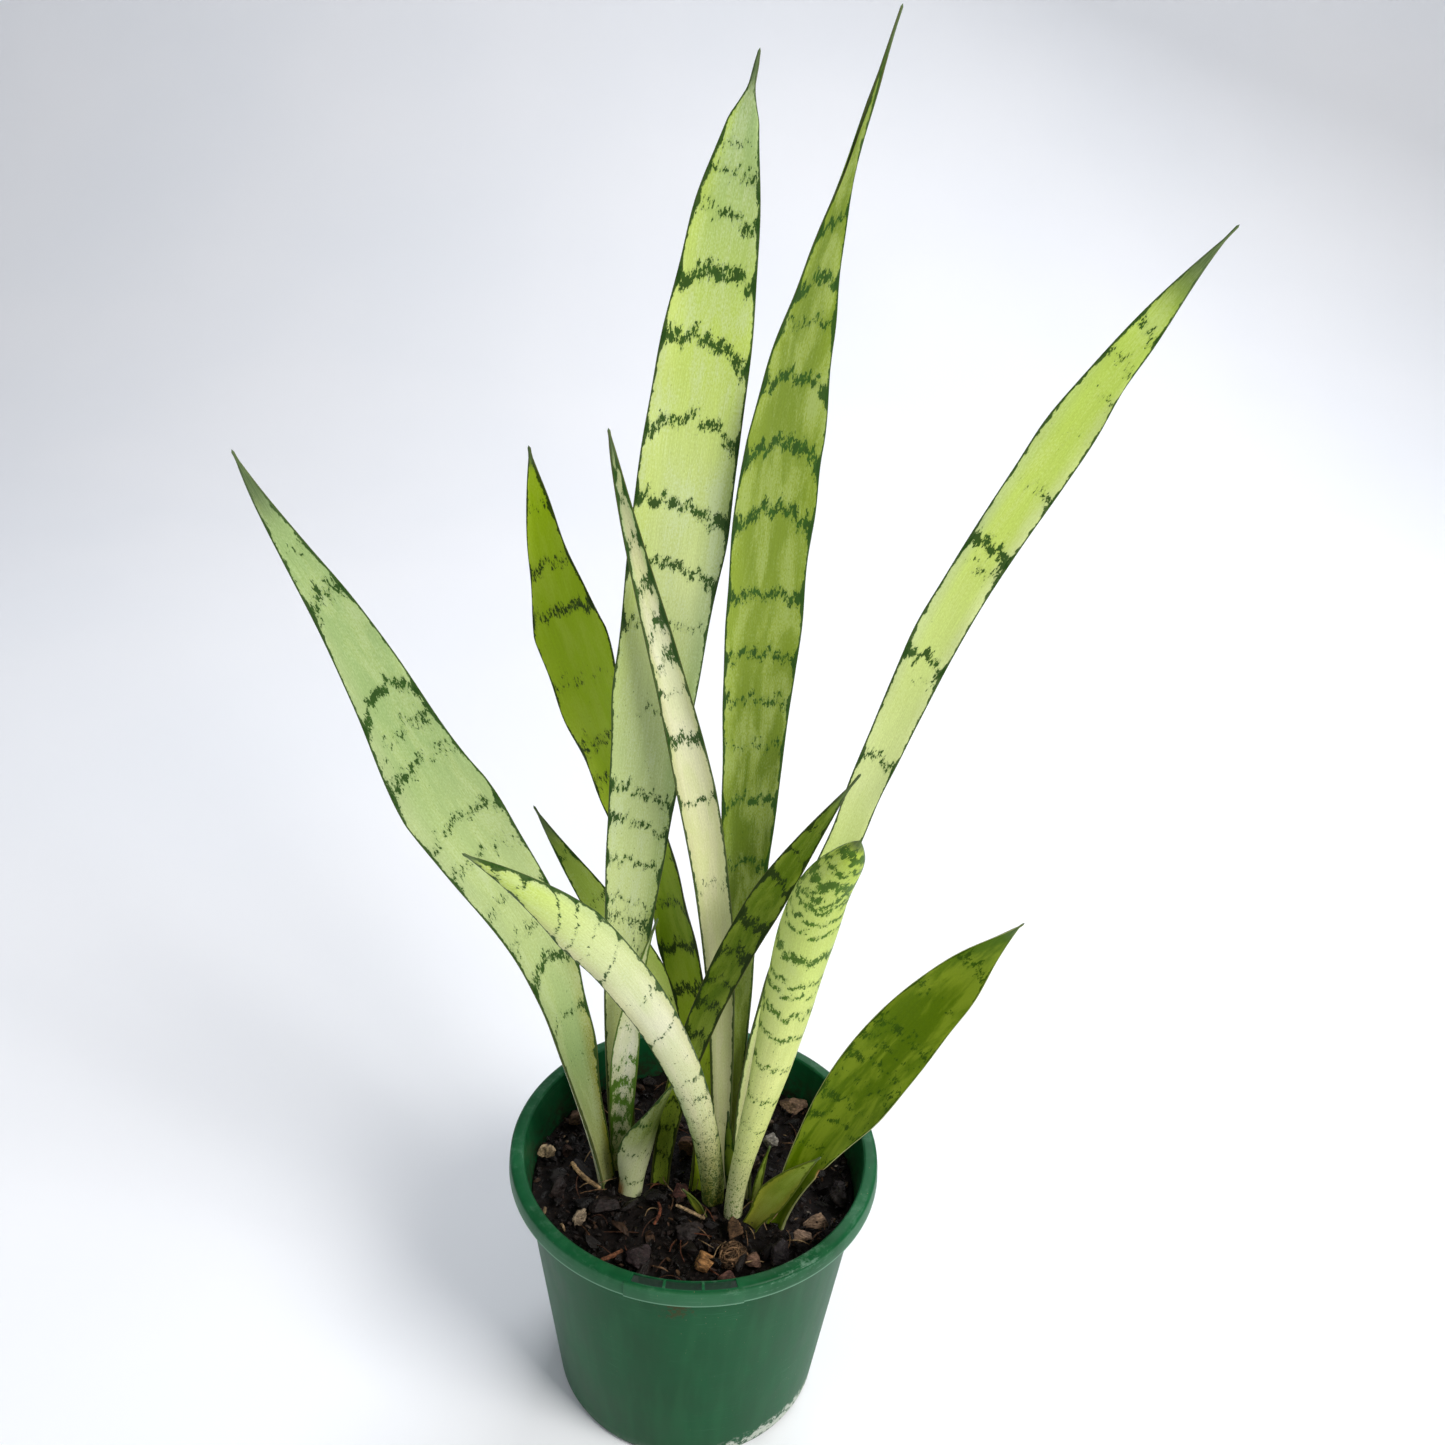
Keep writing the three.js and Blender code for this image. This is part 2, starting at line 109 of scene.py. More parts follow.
def along(values, s):
    """Evenly spaced values read at a share s of the way, as one smooth curve."""
    last = len(values) - 1
    total = np.zeros_like(np.asarray(s, float))
    for i, value in enumerate(values):
        weight = np.ones_like(total)
        for j in range(last + 1):
            if j != i:
                weight = weight * (s - j / last) / ((i - j) / last)
        total = total + value * weight
    return total


def rough(points, size, seed, octaves=3):
    """Fractal noise from about -1 to 1 at each point; size is its scale in millimetres."""
    found = np.empty(len(points))
    for i, p in enumerate(points):
        at = Vector((p[0] / size + seed, p[1] / size - seed, p[2] / size + 0.5 * seed))
        found[i] = noise.fractal(at, 0.9, 2.1, octaves)
    return found


def make_mesh(name, points, faces, smooth=True):
    """A mesh object from points in millimetres."""
    mesh = bpy.data.meshes.new(name)
    mesh.from_pydata((np.asarray(points) * MM).tolist(), [], faces)
    mesh.validate()
    mesh.update()
    mesh.polygons.foreach_set("use_smooth", [smooth] * len(mesh.polygons))
    piece = bpy.data.objects.new(name, mesh)
    bpy.context.scene.collection.objects.link(piece)
    return piece


def give(piece, name, vectors):
    """Stores one vector for each point of a mesh, for its material to read."""
    layer = piece.data.attributes.new(name, "FLOAT_VECTOR", "POINT")
    layer.data.foreach_set("vector", np.asarray(vectors, np.float32).ravel())


def settle(piece, slot, material, *nodes):
    """Finishes a piece: its material, its place on the body and what it stands for; slot is not used."""
    piece.data.materials.clear()
    piece.data.materials.append(material)
    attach(piece, "root")
    if nodes:
        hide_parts(*nodes)


def tube_faces(rows, sides):
    """Quads of a closed tube of rows rings, with a point for each end after the rings."""
    faces = []
    for i in range(rows - 1):
        for k in range(sides):
            n = (k + 1) % sides
            faces.append((i * sides + k, i * sides + n, (i + 1) * sides + n, (i + 1) * sides + k))
    start = rows * sides
    top = (rows - 1) * sides
    for k in range(sides):
        n = (k + 1) % sides
        faces.append((start, n, k))
        faces.append((start + 1, top + k, top + n))
    return faces


# ---------------------------------------------------------------- material graphs


class Graph:
    """A material's nodes, added one at a time."""

    def __init__(self, name):
        self.material = bpy.data.materials.new(name)
        self.material.use_nodes = True
        self.tree = self.material.node_tree
        self.tree.nodes.clear()
        self.shader = self.tree.nodes.new("ShaderNodeBsdfPrincipled")
        output = self.tree.nodes.new("ShaderNodeOutputMaterial")
        self.tree.links.new(self.shader.outputs["BSDF"], output.inputs["Surface"])

    def put(self, socket, source):
        if isinstance(source, bpy.types.NodeSocket):
            self.tree.links.new(source, socket)
        else:
            socket.default_value = source

    def set(self, name, source):
        self.put(self.shader.inputs[name], source)

    def attribute(self, name):
        node = self.tree.nodes.new("ShaderNodeAttribute")
        node.attribute_name = name
        return node.outputs["Vector"]

    def place(self):
        """Where a point is on the object, in metres."""
        return self.tree.nodes.new("ShaderNodeTexCoord").outputs["Object"]

    def parts(self, vector):
        node = self.tree.nodes.new("ShaderNodeSeparateXYZ")
        self.put(node.inputs[0], vector)
        return node.outputs[0], node.outputs[1], node.outputs[2]

    def times(self, vector, factors):
        node = self.tree.nodes.new("ShaderNodeVectorMath")
        node.operation = "MULTIPLY"
        self.put(node.inputs[0], vector)
        node.inputs[1].default_value = factors
        return node.outputs[0]

    def math(self, operation, a, b=0.0, c=0.0):
        node = self.tree.nodes.new("ShaderNodeMath")
        node.operation = operation
        for socket, source in zip(node.inputs, (a, b, c)):
            self.put(socket, source)
        return node.outputs[0]

    def multiply(self, a, b):
        return self.math("MULTIPLY", a, b)

    def add(self, a, b):
        return self.math("ADD", a, b)

    def subtract(self, a, b):
        return self.math("SUBTRACT", a, b)

    def noise(self, vector, scale=1.0, detail=2.0, roughness=0.5, distortion=0.0):
        node = self.tree.nodes.new("ShaderNodeTexNoise")
        self.put(node.inputs["Vector"], vector)
        node.inputs["Scale"].default_value = scale
        node.inputs["Detail"].default_value = detail
        node.inputs["Roughness"].default_value = roughness
        node.inputs["Distortion"].default_value = distortion
        return node.outputs[0]

    def cells(self, vector, scale=1.0):
        node = self.tree.nodes.new("ShaderNodeTexVoronoi")
        self.put(node.inputs["Vector"], vector)
        node.inputs["Scale"].default_value = scale
        return node.outputs["Distance"]

    def span(self, value, low, high, start=0.0, end=1.0):
        """Eases value from low..high to start..end, and holds it at both ends."""
        node = self.tree.nodes.new("ShaderNodeMapRange")
        node.interpolation_type = "SMOOTHSTEP"
        self.put(node.inputs["Value"], value)
        for name, number in (("From Min", low), ("From Max", high), ("To Min", start), ("To Max", end)):
            node.inputs[name].default_value = number
        return node.outputs[0]

    def mix(self, factor, a, b, blend="MIX"):
        node = self.tree.nodes.new("ShaderNodeMix")
        node.data_type = "RGBA"
        node.blend_type = blend
        self.put(node.inputs[0], factor)
        self.put(node.inputs[6], a)
        self.put(node.inputs[7], b)
        return node.outputs[2]

    def shade(self, colour, amount):
        """A colour made lighter or darker by a factor."""
        node = self.tree.nodes.new("ShaderNodeVectorMath")
        node.operation = "SCALE"
        self.put(node.inputs[0], colour)
        self.put(node.inputs["Scale"], amount)
        return node.outputs[0]

    def bump(self, height, distance, strength=1.0):
        node = self.tree.nodes.new("ShaderNodeBump")
        node.inputs["Distance"].default_value = distance * MM
        node.inputs["Strength"].default_value = strength
        self.put(node.inputs["Height"], height)
        self.set("Normal", node.outputs[0])


# ---------------------------------------------------------------- leaves

# The ground colours of the leaves, from the creamy feet to the deep and yellow greens.
LEAF_COLOURS = dict(
    milk="e4e4c8", ivory="d8d8b8", butter="dce490", cream="d0d0a0", linen="c0c090",
    pearl="c8d490", bright="c8d878", lime="b8cc60", pale="b0c080", sage="a8b880",
    straw="c0b888", khaki="a8a868", olive="888830", fresh="98b070", apple="a8c050",
    yellow="b4cc34", acid="90ac10", sour="749010", meadow="98a850", sunlit="849830",
    grass="748828", fern="687c28", moss="586c18", deep="546c08", bottle="4c6400",
    forest="446020", slate="788860", husk="687438", brass="9ca034",
)

# Shapes as in the part, apart from a few widths and turns and the spike, the hook and the bulges,
# then the looks. tints has rows of (share of the length, colour at the first edge, in the middle, at
# the other edge), where one colour stands for all three. bands has (share, how far the other edge lies
# higher, how far the middle lies higher, thickness, weight at the first edge, at the other),
# with lengths in millimetres. outer is a tint for the outside of the channel, where it differs.
# specks is how many small dark flecks there are at the foot, in the middle and at the tip.
# silver is how much pale bloom lies on the leaf, and tip how long the dark tip is. bulges has, for
# each edge, (share of the length, how far the edge swells there). spike is the length of a thin tip,
# hook is (share where it starts, how far the tip is drawn aside), nick is where an edge is torn, edge
# is how wide the dark margins are, and scale marks a papery foot.
LEAVES = {
    "leaf_left_long": dict(
        bulges=(((0.7, -0.5), (0.2, 1)), ((0.55, 1.5), (0.2, 1.5))),
        shoot=SHOOT_LEFT, foot=(-8.5, -2), length=312,
        right=(-6, -19, -27.5, -20.5), back=(0, 0, -4),
        width=(11, 31, 0.58, 1, 0.9), wave=(-2.8, 2, 0.05),
        facing=(60, 30, 15), fold=(80, 30, 15), thick=(2.4, 1.4),
        tints=(
            (0, "straw", "khaki", "olive"), (0.2, "sage", "fresh", "olive"),
            (0.4, "sage", "pale", "pale"), (0.65, "sage", "fresh", "fresh"), (0.9, "fresh"),
            (1, "slate"),
        ),
        bands=(
            (0.20, 0, 2, 2.5, 0.3, 0.45), (0.26, 2, 2, 3, 0.45, 0.8),
            (0.34, 4, 8, 3.5, 1.0, 1.0), (0.39, 3, 4, 4, 0.5, 0.6), (0.44, 2, 4, 3.5, 0.5, 0.7),
            (0.50, 2, 2, 4, 0.6, 0.4), (0.55, 4, 3, 3, 0.55, 0.85), (0.63, 4, 3, 5, 0.8, 0.4),
            (0.67, 5, 3, 5, 0.3, 0.75), (0.72, 5, 8, 3.2, 1.05, 1.05),
            (0.84, 4, 5, 5, 0.75, 0.75), (0.89, 3, 2, 4, 0.3, 0.5), (0.93, 0, 0, 4, 0.4, 0.2),
        ),
        outer="dcdcb4", specks=(0.4, 0.16, 0.1), silver=0.5, tip=18,
    ),
    "leaf_tall_left": dict(
        bulges=(((0.9, 1), (0.5, 1)), ((0.95, -1), (0.65, 1), (0.15, 1))),
        shoot=SHOOT_LEFT, foot=(-1, 12), length=405,
        right=(-4.5, 4.5, 6.5, 10), back=(1, 2, 3),
        width=(12, 31, 0.68, 2.2, 0.9), facing=(0, 0, -10), fold=(75, 20, 15), thick=(2.6, 1.5),
        tints=(
            (0, "linen", "khaki", "olive"), (0.25, "pearl", "pearl", "meadow"),
            (0.45, "pale", "pale", "fresh"), (0.6, "bright", "pearl", "sage"),
            (0.8, "bright", "lime", "lime"), (0.95, "apple", "fresh", "fresh"), (1, "slate"),
        ),
        bands=(
            (0.1, 0, 0, 2.5, 0.2, 0.5), (0.25, 0, 2, 3, 0.3, 0.7), (0.28, -4, 2, 6, 0.5, 0.85),
            (0.3, -4, 1, 2.2, 0.85, 0.5), (0.34, -4, 0, 2.6, 0.75, 0.8),
            (0.38, -6, 1, 2.6, 0.85, 0.8), (0.41, -7, 0, 2.8, 0.9, 0.9), (0.49, 0, 2, 3, 0.2, 0.9),
            (0.57, 0, 1, 2.5, 1.0, 0.4), (0.62, -5, 3, 3, 0.85, 0.9), (0.67, -6, 2, 3, 0.95, 1.0),
            (0.74, -1, 8, 3.2, 0.8, 0.9), (0.8, -6, 5, 3.2, 1.0, 1.05),
            (0.85, 2, 4, 3.6, 1.05, 1.05), (0.89, -5, 1, 3.2, 0.55, 0.85),
            (0.92, -2, 2, 3, 0.6, 0.7), (0.94, 0, 2, 3, 0.5, 0.45),
        ),
        specks=(0.25, 0.2, 0.05), silver=0.7, tip=9, spike=9,
    ),
    "leaf_tall_right": dict(
        bulges=(((0.9, -2), (0.7, -0.5)), ((0.95, 1), (0.8, 1), (0.55, 1), (0.25, -1))),
        shoot=SHOOT_RIGHT, foot=(1, 13), length=419,
        right=(1, -0.5, 6, 16.5), back=(4, 3, 4),
        width=(9, 28, 0.7, 1.3, 1.9), wave=(1.7, 1.3, -0.29),
        facing=(0, 10, 50), fold=(75, 25, 15), thick=(2.4, 1.4),
        tints=(
            (0, "meadow"), (0.25, "fern", "moss", "moss"), (0.4, "grass", "moss", "moss"),
            (0.55, "sunlit", "grass", "grass"), (0.85, "grass", "fern", "grass"), (1, "fern"),
        ),
        bands=(
            (0.34, 0, 2, 3, 0.7, 0.95), (0.37, 0, 1, 3, 0.3, 0.4), (0.4, 2, 2, 2.6, 0.95, 0.95),
            (0.45, 0, 1, 4, 0.4, 0.65), (0.49, 0, 1, 3, 0.7, 0.75), (0.53, 0, 2, 2.8, 0.85, 0.85),
            (0.58, 0, 1, 3, 0.85, 1.0), (0.65, 1, 9, 3.4, 1.05, 1.05), (0.7, 1, 8, 3.4, 1.05, 1.1),
            (0.75, 0, 5, 3, 0.95, 1.0), (0.79, 3, 2, 3.2, 0.6, 0.75), (0.82, 6, 4, 3, 1.1, 1.1),
            (0.86, 7, 2, 2.6, 1.0, 0.85), (0.91, 0, 1, 2.4, 0.2, 0.5),
        ),
        specks=(0.15, 0.16, 0.04), silver=0.25, tip=10,
    ),
    "leaf_right_long": dict(
        bulges=(((0.8, 1), (0.6, 1), (0.4, -1), (0.25, 1.5)), ((0.85, -1.5), (0.45, -1))),
        shoot=SHOOT_RIGHT, foot=(6.5, 4), length=393,
        right=(-4, 17.5, 25, 40.5), back=(8, 8, 5),
        width=(9, 17, 0.78, 1.9, 1.3), wave=(-1.6, 2, 0),
        facing=(-10, -10, -25), fold=(75, 25, 15), thick=(2.4, 1.3),
        tints=(
            (0, "linen"), (0.15, "pearl", "linen", "pearl"), (0.3, "lime", "lime", "bright"),
            (0.45, "pearl"), (0.7, "pale", "lime", "pearl"), (0.9, "apple"), (1, "forest"),
        ),
        bands=(
            (0.39, 2, 0, 2.2, 0.2, 0.4), (0.48, -2, 2, 2.6, 0.8, 0.9), (0.56, 0, 1, 2.5, 0.2, 0.5),
            (0.58, -2, 2, 2.8, 1.05, 0.95), (0.67, -3, 0, 4, 0.2, 0.7), (0.69, -2, 3, 3.2, 1.05, 0.95),
            (0.75, 0, 1, 3.5, 0.2, 0.6), (0.80, 0, 0, 4, 0.2, 0.35), (0.84, -2, 1, 2.6, 0.2, 0.6),
            (0.87, -2, 1, 3, 0.6, 0.5), (0.9, -2, 1, 3, 0.65, 0.75),
        ),
        specks=(0.3, 0.14, 0.12), silver=0.3, tip=24,
    ),
    "leaf_back_left": dict(
        shine=0.1,
        bulges=(((0.85, -1), (0.65, 1), (0.4, -2.5)), ((0.95, 1), (0.75, 1), (0.5, 1.5), (0.3, -1))),
        shoot=SHOOT_RIGHT, foot=(-11.5, 7.5), length=293,
        right=(8, -16, -21, -5.5), back=(16, 14, 3),
        width=(9, 32, 0.77, 1, 1.1), facing=(20, -30, 0), fold=(75, 25, 15), thick=(2.2, 1.3),
        tints=(
            (0, "yellow"), (0.2, "yellow", "yellow", "acid"), (0.35, "sour"),
            (0.5, "yellow", "acid", "acid"), (0.8, "acid"), (1, "yellow", "acid", "acid"),
        ),
        bands=(
            (0.17, 0, 1, 3, 0.5, 0.5), (0.28, 0, 2, 3.4, 0.95, 1.05), (0.34, 0, 2, 3.4, 1.0, 0.9),
            (0.40, 0, 3, 3, 0.7, 0.8), (0.47, 0, 2, 3, 0.4, 0.5), (0.58, 3, 1, 4, 0.6, 1.0),
            (0.63, 3, 2, 4, 0.75, 0.5), (0.71, 2, 1, 4, 0.5, 0.3), (0.80, 4, 1, 3.2, 0.7, 1.0),
            (0.86, 3, 2, 3.4, 0.8, 0.6), (0.93, 0, 1, 3, 0.4, 0.5),
        ),
        specks=(0.1, 0.2, 0.1), silver=0.05, tip=6, dark="2a4008",
    ),
    "leaf_centre_cream": dict(
        shoot=SHOOT_RIGHT, foot=(-2, 8), length=301,
        right=(-3.5, -5, -14, -10), back=(4, 3, 0),
        width=(9, 16, 0.58, 1, 0.7), facing=(10, 10, 10), fold=(75, 60, 45), thick=(2.2, 1.2),
        tints=(
            (0, "khaki", "linen", "linen"), (0.15, "linen", "cream", "linen"),
            (0.5, "linen", "cream", "cream"), (0.75, "linen", "ivory", "linen"),
            (0.85, "sage", "linen", "fresh"), (1, "slate"),
        ),
        bands=(
            (0.10, 0, 1, 3, 0.4, 0.5), (0.30, 0, 1, 4, 0.3, 0.4), (0.45, 0, -1, 4, 0.45, 0.5),
            (0.56, 1, -3, 1.6, 0.75, 0.9), (0.64, -2, -2, 3.6, 0.95, 1.0), (0.70, 0, -1, 1.5, 0.85, 0.6),
            (0.74, 6, 0, 4.6, 0.3, 1.25), (0.78, 8, 0, 4.6, 0.4, 1.3), (0.83, 8, 0, 4.4, 0.5, 1.2),
            (0.88, 6, 0, 3, 0.6, 1.1), (0.93, 4, 0, 3, 0.7, 1.0), (0.96, 2, 0, 3, 0.9, 1.0),
        ),
        specks=(0.25, 0.14, 0.4), silver=0.25, tip=9,
    ),
    "leaf_rolled_young": dict(
        hook=(0.8, -5),
        bulges=(((0.75, 1.5), (0.55, -0.5)), ((0.95, -1.5), (0.85, 1))),
        shoot=SHOOT_RIGHT, foot=(2.7, -8), length=197,
        right=(1.5, 10, 4.5, 20), back=(-5, -9, -10),
        width=(9, 31, 0.72, 2.3, 0.76), facing=(170, 190, 142), fold=(80, 95, 95), thick=(2.2, 1.2),
        tints=(
            (0, "linen", "cream", "linen"), (0.2, "butter", "butter", "pearl"),
            (0.4, "bright", "butter", "bright"), (0.65, "apple", "bright", "lime"),
            (0.9, "yellow", "lime", "lime"), (1, "acid", "yellow", "yellow"),
        ),
        bands=(
            (0.08, 0, -2, 1.5, 0.5, 0.5), (0.16, 0, -2, 1.5, 0.5, 0.55), (0.25, 0, -2, 1.6, 0.5, 0.6),
            (0.33, 0, -3, 2.2, 0.6, 0.95), (0.42, 0, -3, 2.2, 0.6, 1.0), (0.50, 0, -3, 1.9, 0.9, 1.0),
            (0.56, 0, -3, 2.8, 0.7, 1.05), (0.61, 0, -3, 1.6, 1.0, 1.0), (0.64, 0, -3, 2.0, 0.8, 0.9),
            (0.70, 0, -5, 2.8, 1.05, 1.15), (0.76, 0, -5, 1.6, 0.95, 1.0), (0.79, 0, -5, 1.5, 1.0, 1.0),
            (0.82, 0, -5, 1.7, 1.0, 1.05), (0.84, 0, -5, 2.2, 1.05, 1.0), (0.88, 0, -2, 3.6, 1.25, 1.25),
            (0.92, 0, -1, 1.8, 1.1, 1.1), (0.96, 0, 0, 3.4, 1.2, 1.1),
        ),
        specks=(0.6, 0.24, 0.1), silver=0.3, tip=4, dark="487210",
    ),
    "leaf_dark_right": dict(
        shine=0.08,
        shoot=SHOOT_LEFT, foot=(14, 0), length=204,
        right=(3.5, 13.5, 22.5, 31.5), back=(-3, -4, -1),
        width=(9, 13, 0.68, 1.8, 1.4), facing=(0, -25, -10), fold=(75, 35, 25), thick=(2.2, 1.2),
        tints=(
            (0, "grass"), (0.3, "grass", "grass", "sunlit"), (0.45, "deep", "deep", "grass"),
            (0.6, "deep"), (0.8, "grass", "deep", "deep"), (1, "forest"),
        ),
        bands=(
            (0.07, 0, 1, 2.4, 0.8, 0.7), (0.14, 0, 1, 2.8, 0.8, 0.9), (0.21, 0, 1, 2.8, 0.7, 0.9),
            (0.28, 0, 1, 3.2, 0.9, 0.8), (0.38, 0, 2, 5.0, 1.05, 0.7), (0.46, 1, 2, 3.4, 1.0, 0.8),
            (0.52, 2, 2, 2.4, 0.9, 0.7), (0.59, 4, 3, 3.8, 0.8, 1.15), (0.66, 0, 2, 4.2, 1.1, 1.0),
            (0.76, -2, 1, 2.8, 1.1, 0.9), (0.82, -2, 1, 1.3, 0.9, 0.8), (0.88, 0, 0, 2.2, 0.8, 0.4),
        ),
        specks=(0.5, 0.3, 0.12), silver=0.05, tip=12, dark="263a08",
    ),
    "leaf_front_left": dict(
        shoot=SHOOT_RIGHT, foot=(-4.5, -1.5), length=236,
        right=(-2.5, -13, -23, -38), back=(-10, -20, -25),
        width=(11, 16, 0.77, 1, 0.9), facing=(190, 205, 200), fold=(75, 30, 30), thick=(2.4, 1.2),
        tints=(
            (0, "grass", "olive", "grass"), (0.1, "meadow", "khaki", "meadow"),
            (0.25, "linen", "cream", "sage"), (0.5, "linen", "ivory", "cream"),
            (0.75, "pale", "pearl", "linen"), (0.9, "pale", "lime", "lime"),
            (1, "grass", "meadow", "meadow"),
        ),
        bands=(
            (0.06, 0, 0, 2, 0.5, 0.5), (0.12, 0, 0, 1.6, 0.7, 0.7), (0.17, 1, 0, 1.3, 0.9, 0.8),
            (0.23, 0, 0, 2.4, 0.5, 0.5), (0.29, 0, 0, 3.5, 0.7, 0.45), (0.34, 0, 0, 2.0, 0.95, 0.45),
            (0.40, 0, 0, 2, 0.4, 0.2), (0.48, -9, 1, 1.5, 0.85, 0.95), (0.57, 0, 0, 2.4, 1.0, 0.2),
            (0.68, -14, 1, 1.2, 0.75, 0.95), (0.74, -12, 0, 1.2, 0.9, 0.3), (0.78, -16, 0, 1.1, 0.9, 0.8),
            (0.82, -18, 0, 1.2, 0.8, 0.9), (0.90, -2, 0, 2.4, 0.8, 0.5), (0.95, 0, 0, 3.0, 0.9, 0.6),
        ),
        specks=(0.8, 0.2, 0.16), silver=0.5, tip=5, edge=(1.5, 0.9),
    ),
    "leaf_small_left": dict(
        shoot=SHOOT_RIGHT, foot=(-8.5, 16.5), length=162,
        right=(-5.5, -23.5, -35.5, -29), back=(20, 18, 8),
        width=(9, 17, 0.53, 1.4, 1), facing=(20, 20, 10), fold=(70, 30, 20), thick=(2, 1.2),
        tints=(
            (0, "pearl", "bright", "pearl"), (0.3, "butter", "butter", "bright"),
            (0.55, "bright", "bright", "lime"), (0.75, "apple"), (1, "grass", "fern", "fern"),
        ),
        bands=(
            (0.25, 0, 1, 2.4, 0.6, 0.6), (0.42, 0, 1, 2.6, 0.5, 0.6), (0.60, 2, 1, 3, 0.4, 0.6),
            (0.73, 2, 1, 3, 0.3, 0.8), (0.86, 0, 1, 3, 0.6, 0.7),
        ),
        specks=(0.2, 0.15, 0.2), silver=0.25, tip=14,
    ),
    "leaf_small_right": dict(
        bulges=(((0.95, -1),), ((0.8, 1), (0.4, 1))),
        shoot=SHOOT_RIGHT, foot=(20, -10), length=157,
        right=(10.5, 27, 33, 49), back=(2, 4, 6),
        width=(9, 26, 0.5, 2.3, 1.1), facing=(-30, -25, -15), fold=(70, 25, 20), thick=(2.4, 1.2),
        tints=(
            (0, "deep", "deep", "grass"), (0.15, "bottle", "bottle", "moss"),
            (0.5, "deep", "bottle", "deep"), (0.8, "deep", "bottle", "deep"), (1, "forest"),
        ),
        bands=(
            (0.13, 0, 1, 2.4, 0.5, 0.5), (0.25, 0, 1, 3, 0.5, 0.6), (0.34, 3, 2, 2.4, 0.9, 0.6),
            (0.4, 2, 2, 3, 1.05, 0.4), (0.46, 4, 0, 3.5, 0.3, 0.7), (0.52, 2, 2, 2.6, 1.05, 0.5),
            (0.57, 0, 1, 2.2, 0.95, 0.4), (0.62, 0, 0, 3.6, 0.85, 0.65), (0.74, 0, 1, 2.6, 0.8, 0.3),
            (0.86, 0, 1, 4, 0.8, 0.5),
        ),
        outer="c3cc9c", specks=(0.25, 0.2, 0.05), silver=0.0, tip=6, dark="355200", nick=0.205, shine=0.08,
        # rim here is a pale yellow-green margin line: painted glow of light shining through the leaf's edges
        rim="b9bb7c", rim_width=(0.4, 0.2), edge=(0.6, 0.5),
    ),
    "leaf_young_mottled": dict(
        shoot=SHOOT_LEFT, foot=(-2, 4.5), length=124,
        right=(1, 2, 8, 16), back=(-1, -2, -3),
        width=(8.5, 12, 0.45, 1.4, 1.4), facing=(0, 0, 0), fold=(60, 50, 40), thick=(1.8, 1.1),
        tints=(
            (0, "khaki"), (0.1, "linen", "cream", "linen"), (0.3, "cream", "ivory", "cream"),
            (0.5, "ivory", "milk", "ivory"), (0.8, "pearl", "cream", "pale"), (1, "slate"),
        ),
        bands=(
            (0.03, 0, 0, 2.0, 0.7, 0.8), (0.09, 2, 1, 1.8, 0.9, 0.6), (0.15, -3, 1, 2.6, 0.8, 1.2),
            (0.21, 4, -2, 3.4, 1.15, 0.9), (0.28, -4, -2, 4.2, 0.9, 1.25), (0.36, 5, 2, 4.0, 1.2, 0.9),
            (0.45, 6, 2, 3.0, 0.5, 1.0), (0.59, 4, 1, 2.0, 0.4, 0.8), (0.68, 3, 1, 2.0, 0.6, 0.3),
            (0.80, 0, 0, 3.0, 0.5, 0.5),
        ),
        edge=(0.7, 0.7), specks=(0.6, 0.35, 0.1), silver=0.2, tip=9, dark="57821c",
    ),
    "sheath_left": dict(
        shoot=SHOOT_LEFT, foot=(4.5, -8.5), length=60,
        right=(6, 14, 22), back=(-1, -2, -1),
        width=(14, 21, 0.35, 1.3, 1), facing=(-150, -138, -125), fold=(85, 70, 45), thick=(1.8, 1),
        tints=(
            (0, "husk"), (0.4, "moss", "moss", "husk"), (1, "husk"),
        ),
        bands=(
            (0.10, 0, 1, 2.0, 0.7, 0.7), (0.35, 1, 1, 2.0, 0.7, 0.6), (0.60, 1, 1, 2.2, 0.6, 0.7),
            (0.83, 0, 1, 2.0, 0.7, 0.6),
        ),
        outer="c6cb9e", specks=(0.35, 0.3, 0.3), silver=0.35, tip=3, scale=True,
    ),
    "sheath_yellow": dict(
        shoot=SHOOT_RIGHT, foot=(11.5, -10.5), length=46,
        right=(22, 28, 34), back=(-3, -9, -13),
        width=(8, 13, 0.35, 1.4, 1.1), facing=(-40, -35, -30), fold=(65, 50, 35), thick=(1.6, 1),
        tints=(
            (0, "brass", "olive", "olive"), (0.5, "brass", "sunlit", "olive"), (1, "grass"),
        ),
        bands=((0.25, 0, 1, 1.6, 0.3, 0.4), (0.55, 1, 1, 1.6, 0.4, 0.3), (0.80, 0, 1, 1.6, 0.5, 0.4)),
        outer="b3b24c", specks=(0.3, 0.2, 0.1), silver=0.1, tip=3, dark="5f7416",
    ),
    "bract_dark": dict(
        shoot=SHOOT_RIGHT, foot=(3, -1.5), length=44,
        right=(-7, -5, -3), back=(3, 2, 1),
        width=(4, 5, 0.35, 1.6, 1), facing=(180, 180, 180), fold=(40, 35, 30), thick=(1.2, 0.9),
        tints=(
            (0, "fern", "fern", "moss"), (1, "forest"),
        ),
        bands=((0.3, 0, 1, 2.0, 0.7, 0.7), (0.65, 0, 1, 2.0, 0.7, 0.7)),
        specks=(0.3, 0.2, 0.1), silver=0.0, tip=4, dark="2c4c14",
    ),
    "bract_tip_small": dict(
        shoot=SHOOT_RIGHT, foot=(-9.5, -7), length=14,
        right=(-20, -30, -38), back=(-4, -6, -8),
        width=(4, 4.5, 0.3, 1.5, 1), facing=(-20, -20, -20), fold=(40, 35, 30), thick=(1.2, 0.9),
        tints=(
            (0, "olive"), (0.6, "sunlit"), (1, "grass"),
        ),
        bands=((0.5, 0, 0, 1.2, 0.4, 0.4),),
        specks=(0.3, 0.2, 0.1), silver=0.0, tip=2, dark="4f6a1c",
    ),
    "bract_spike_small": dict(
        shoot=SHOOT_RIGHT, foot=(11, -3.5), length=31,
        right=(4, 8, 13), back=(0, 0, 0),
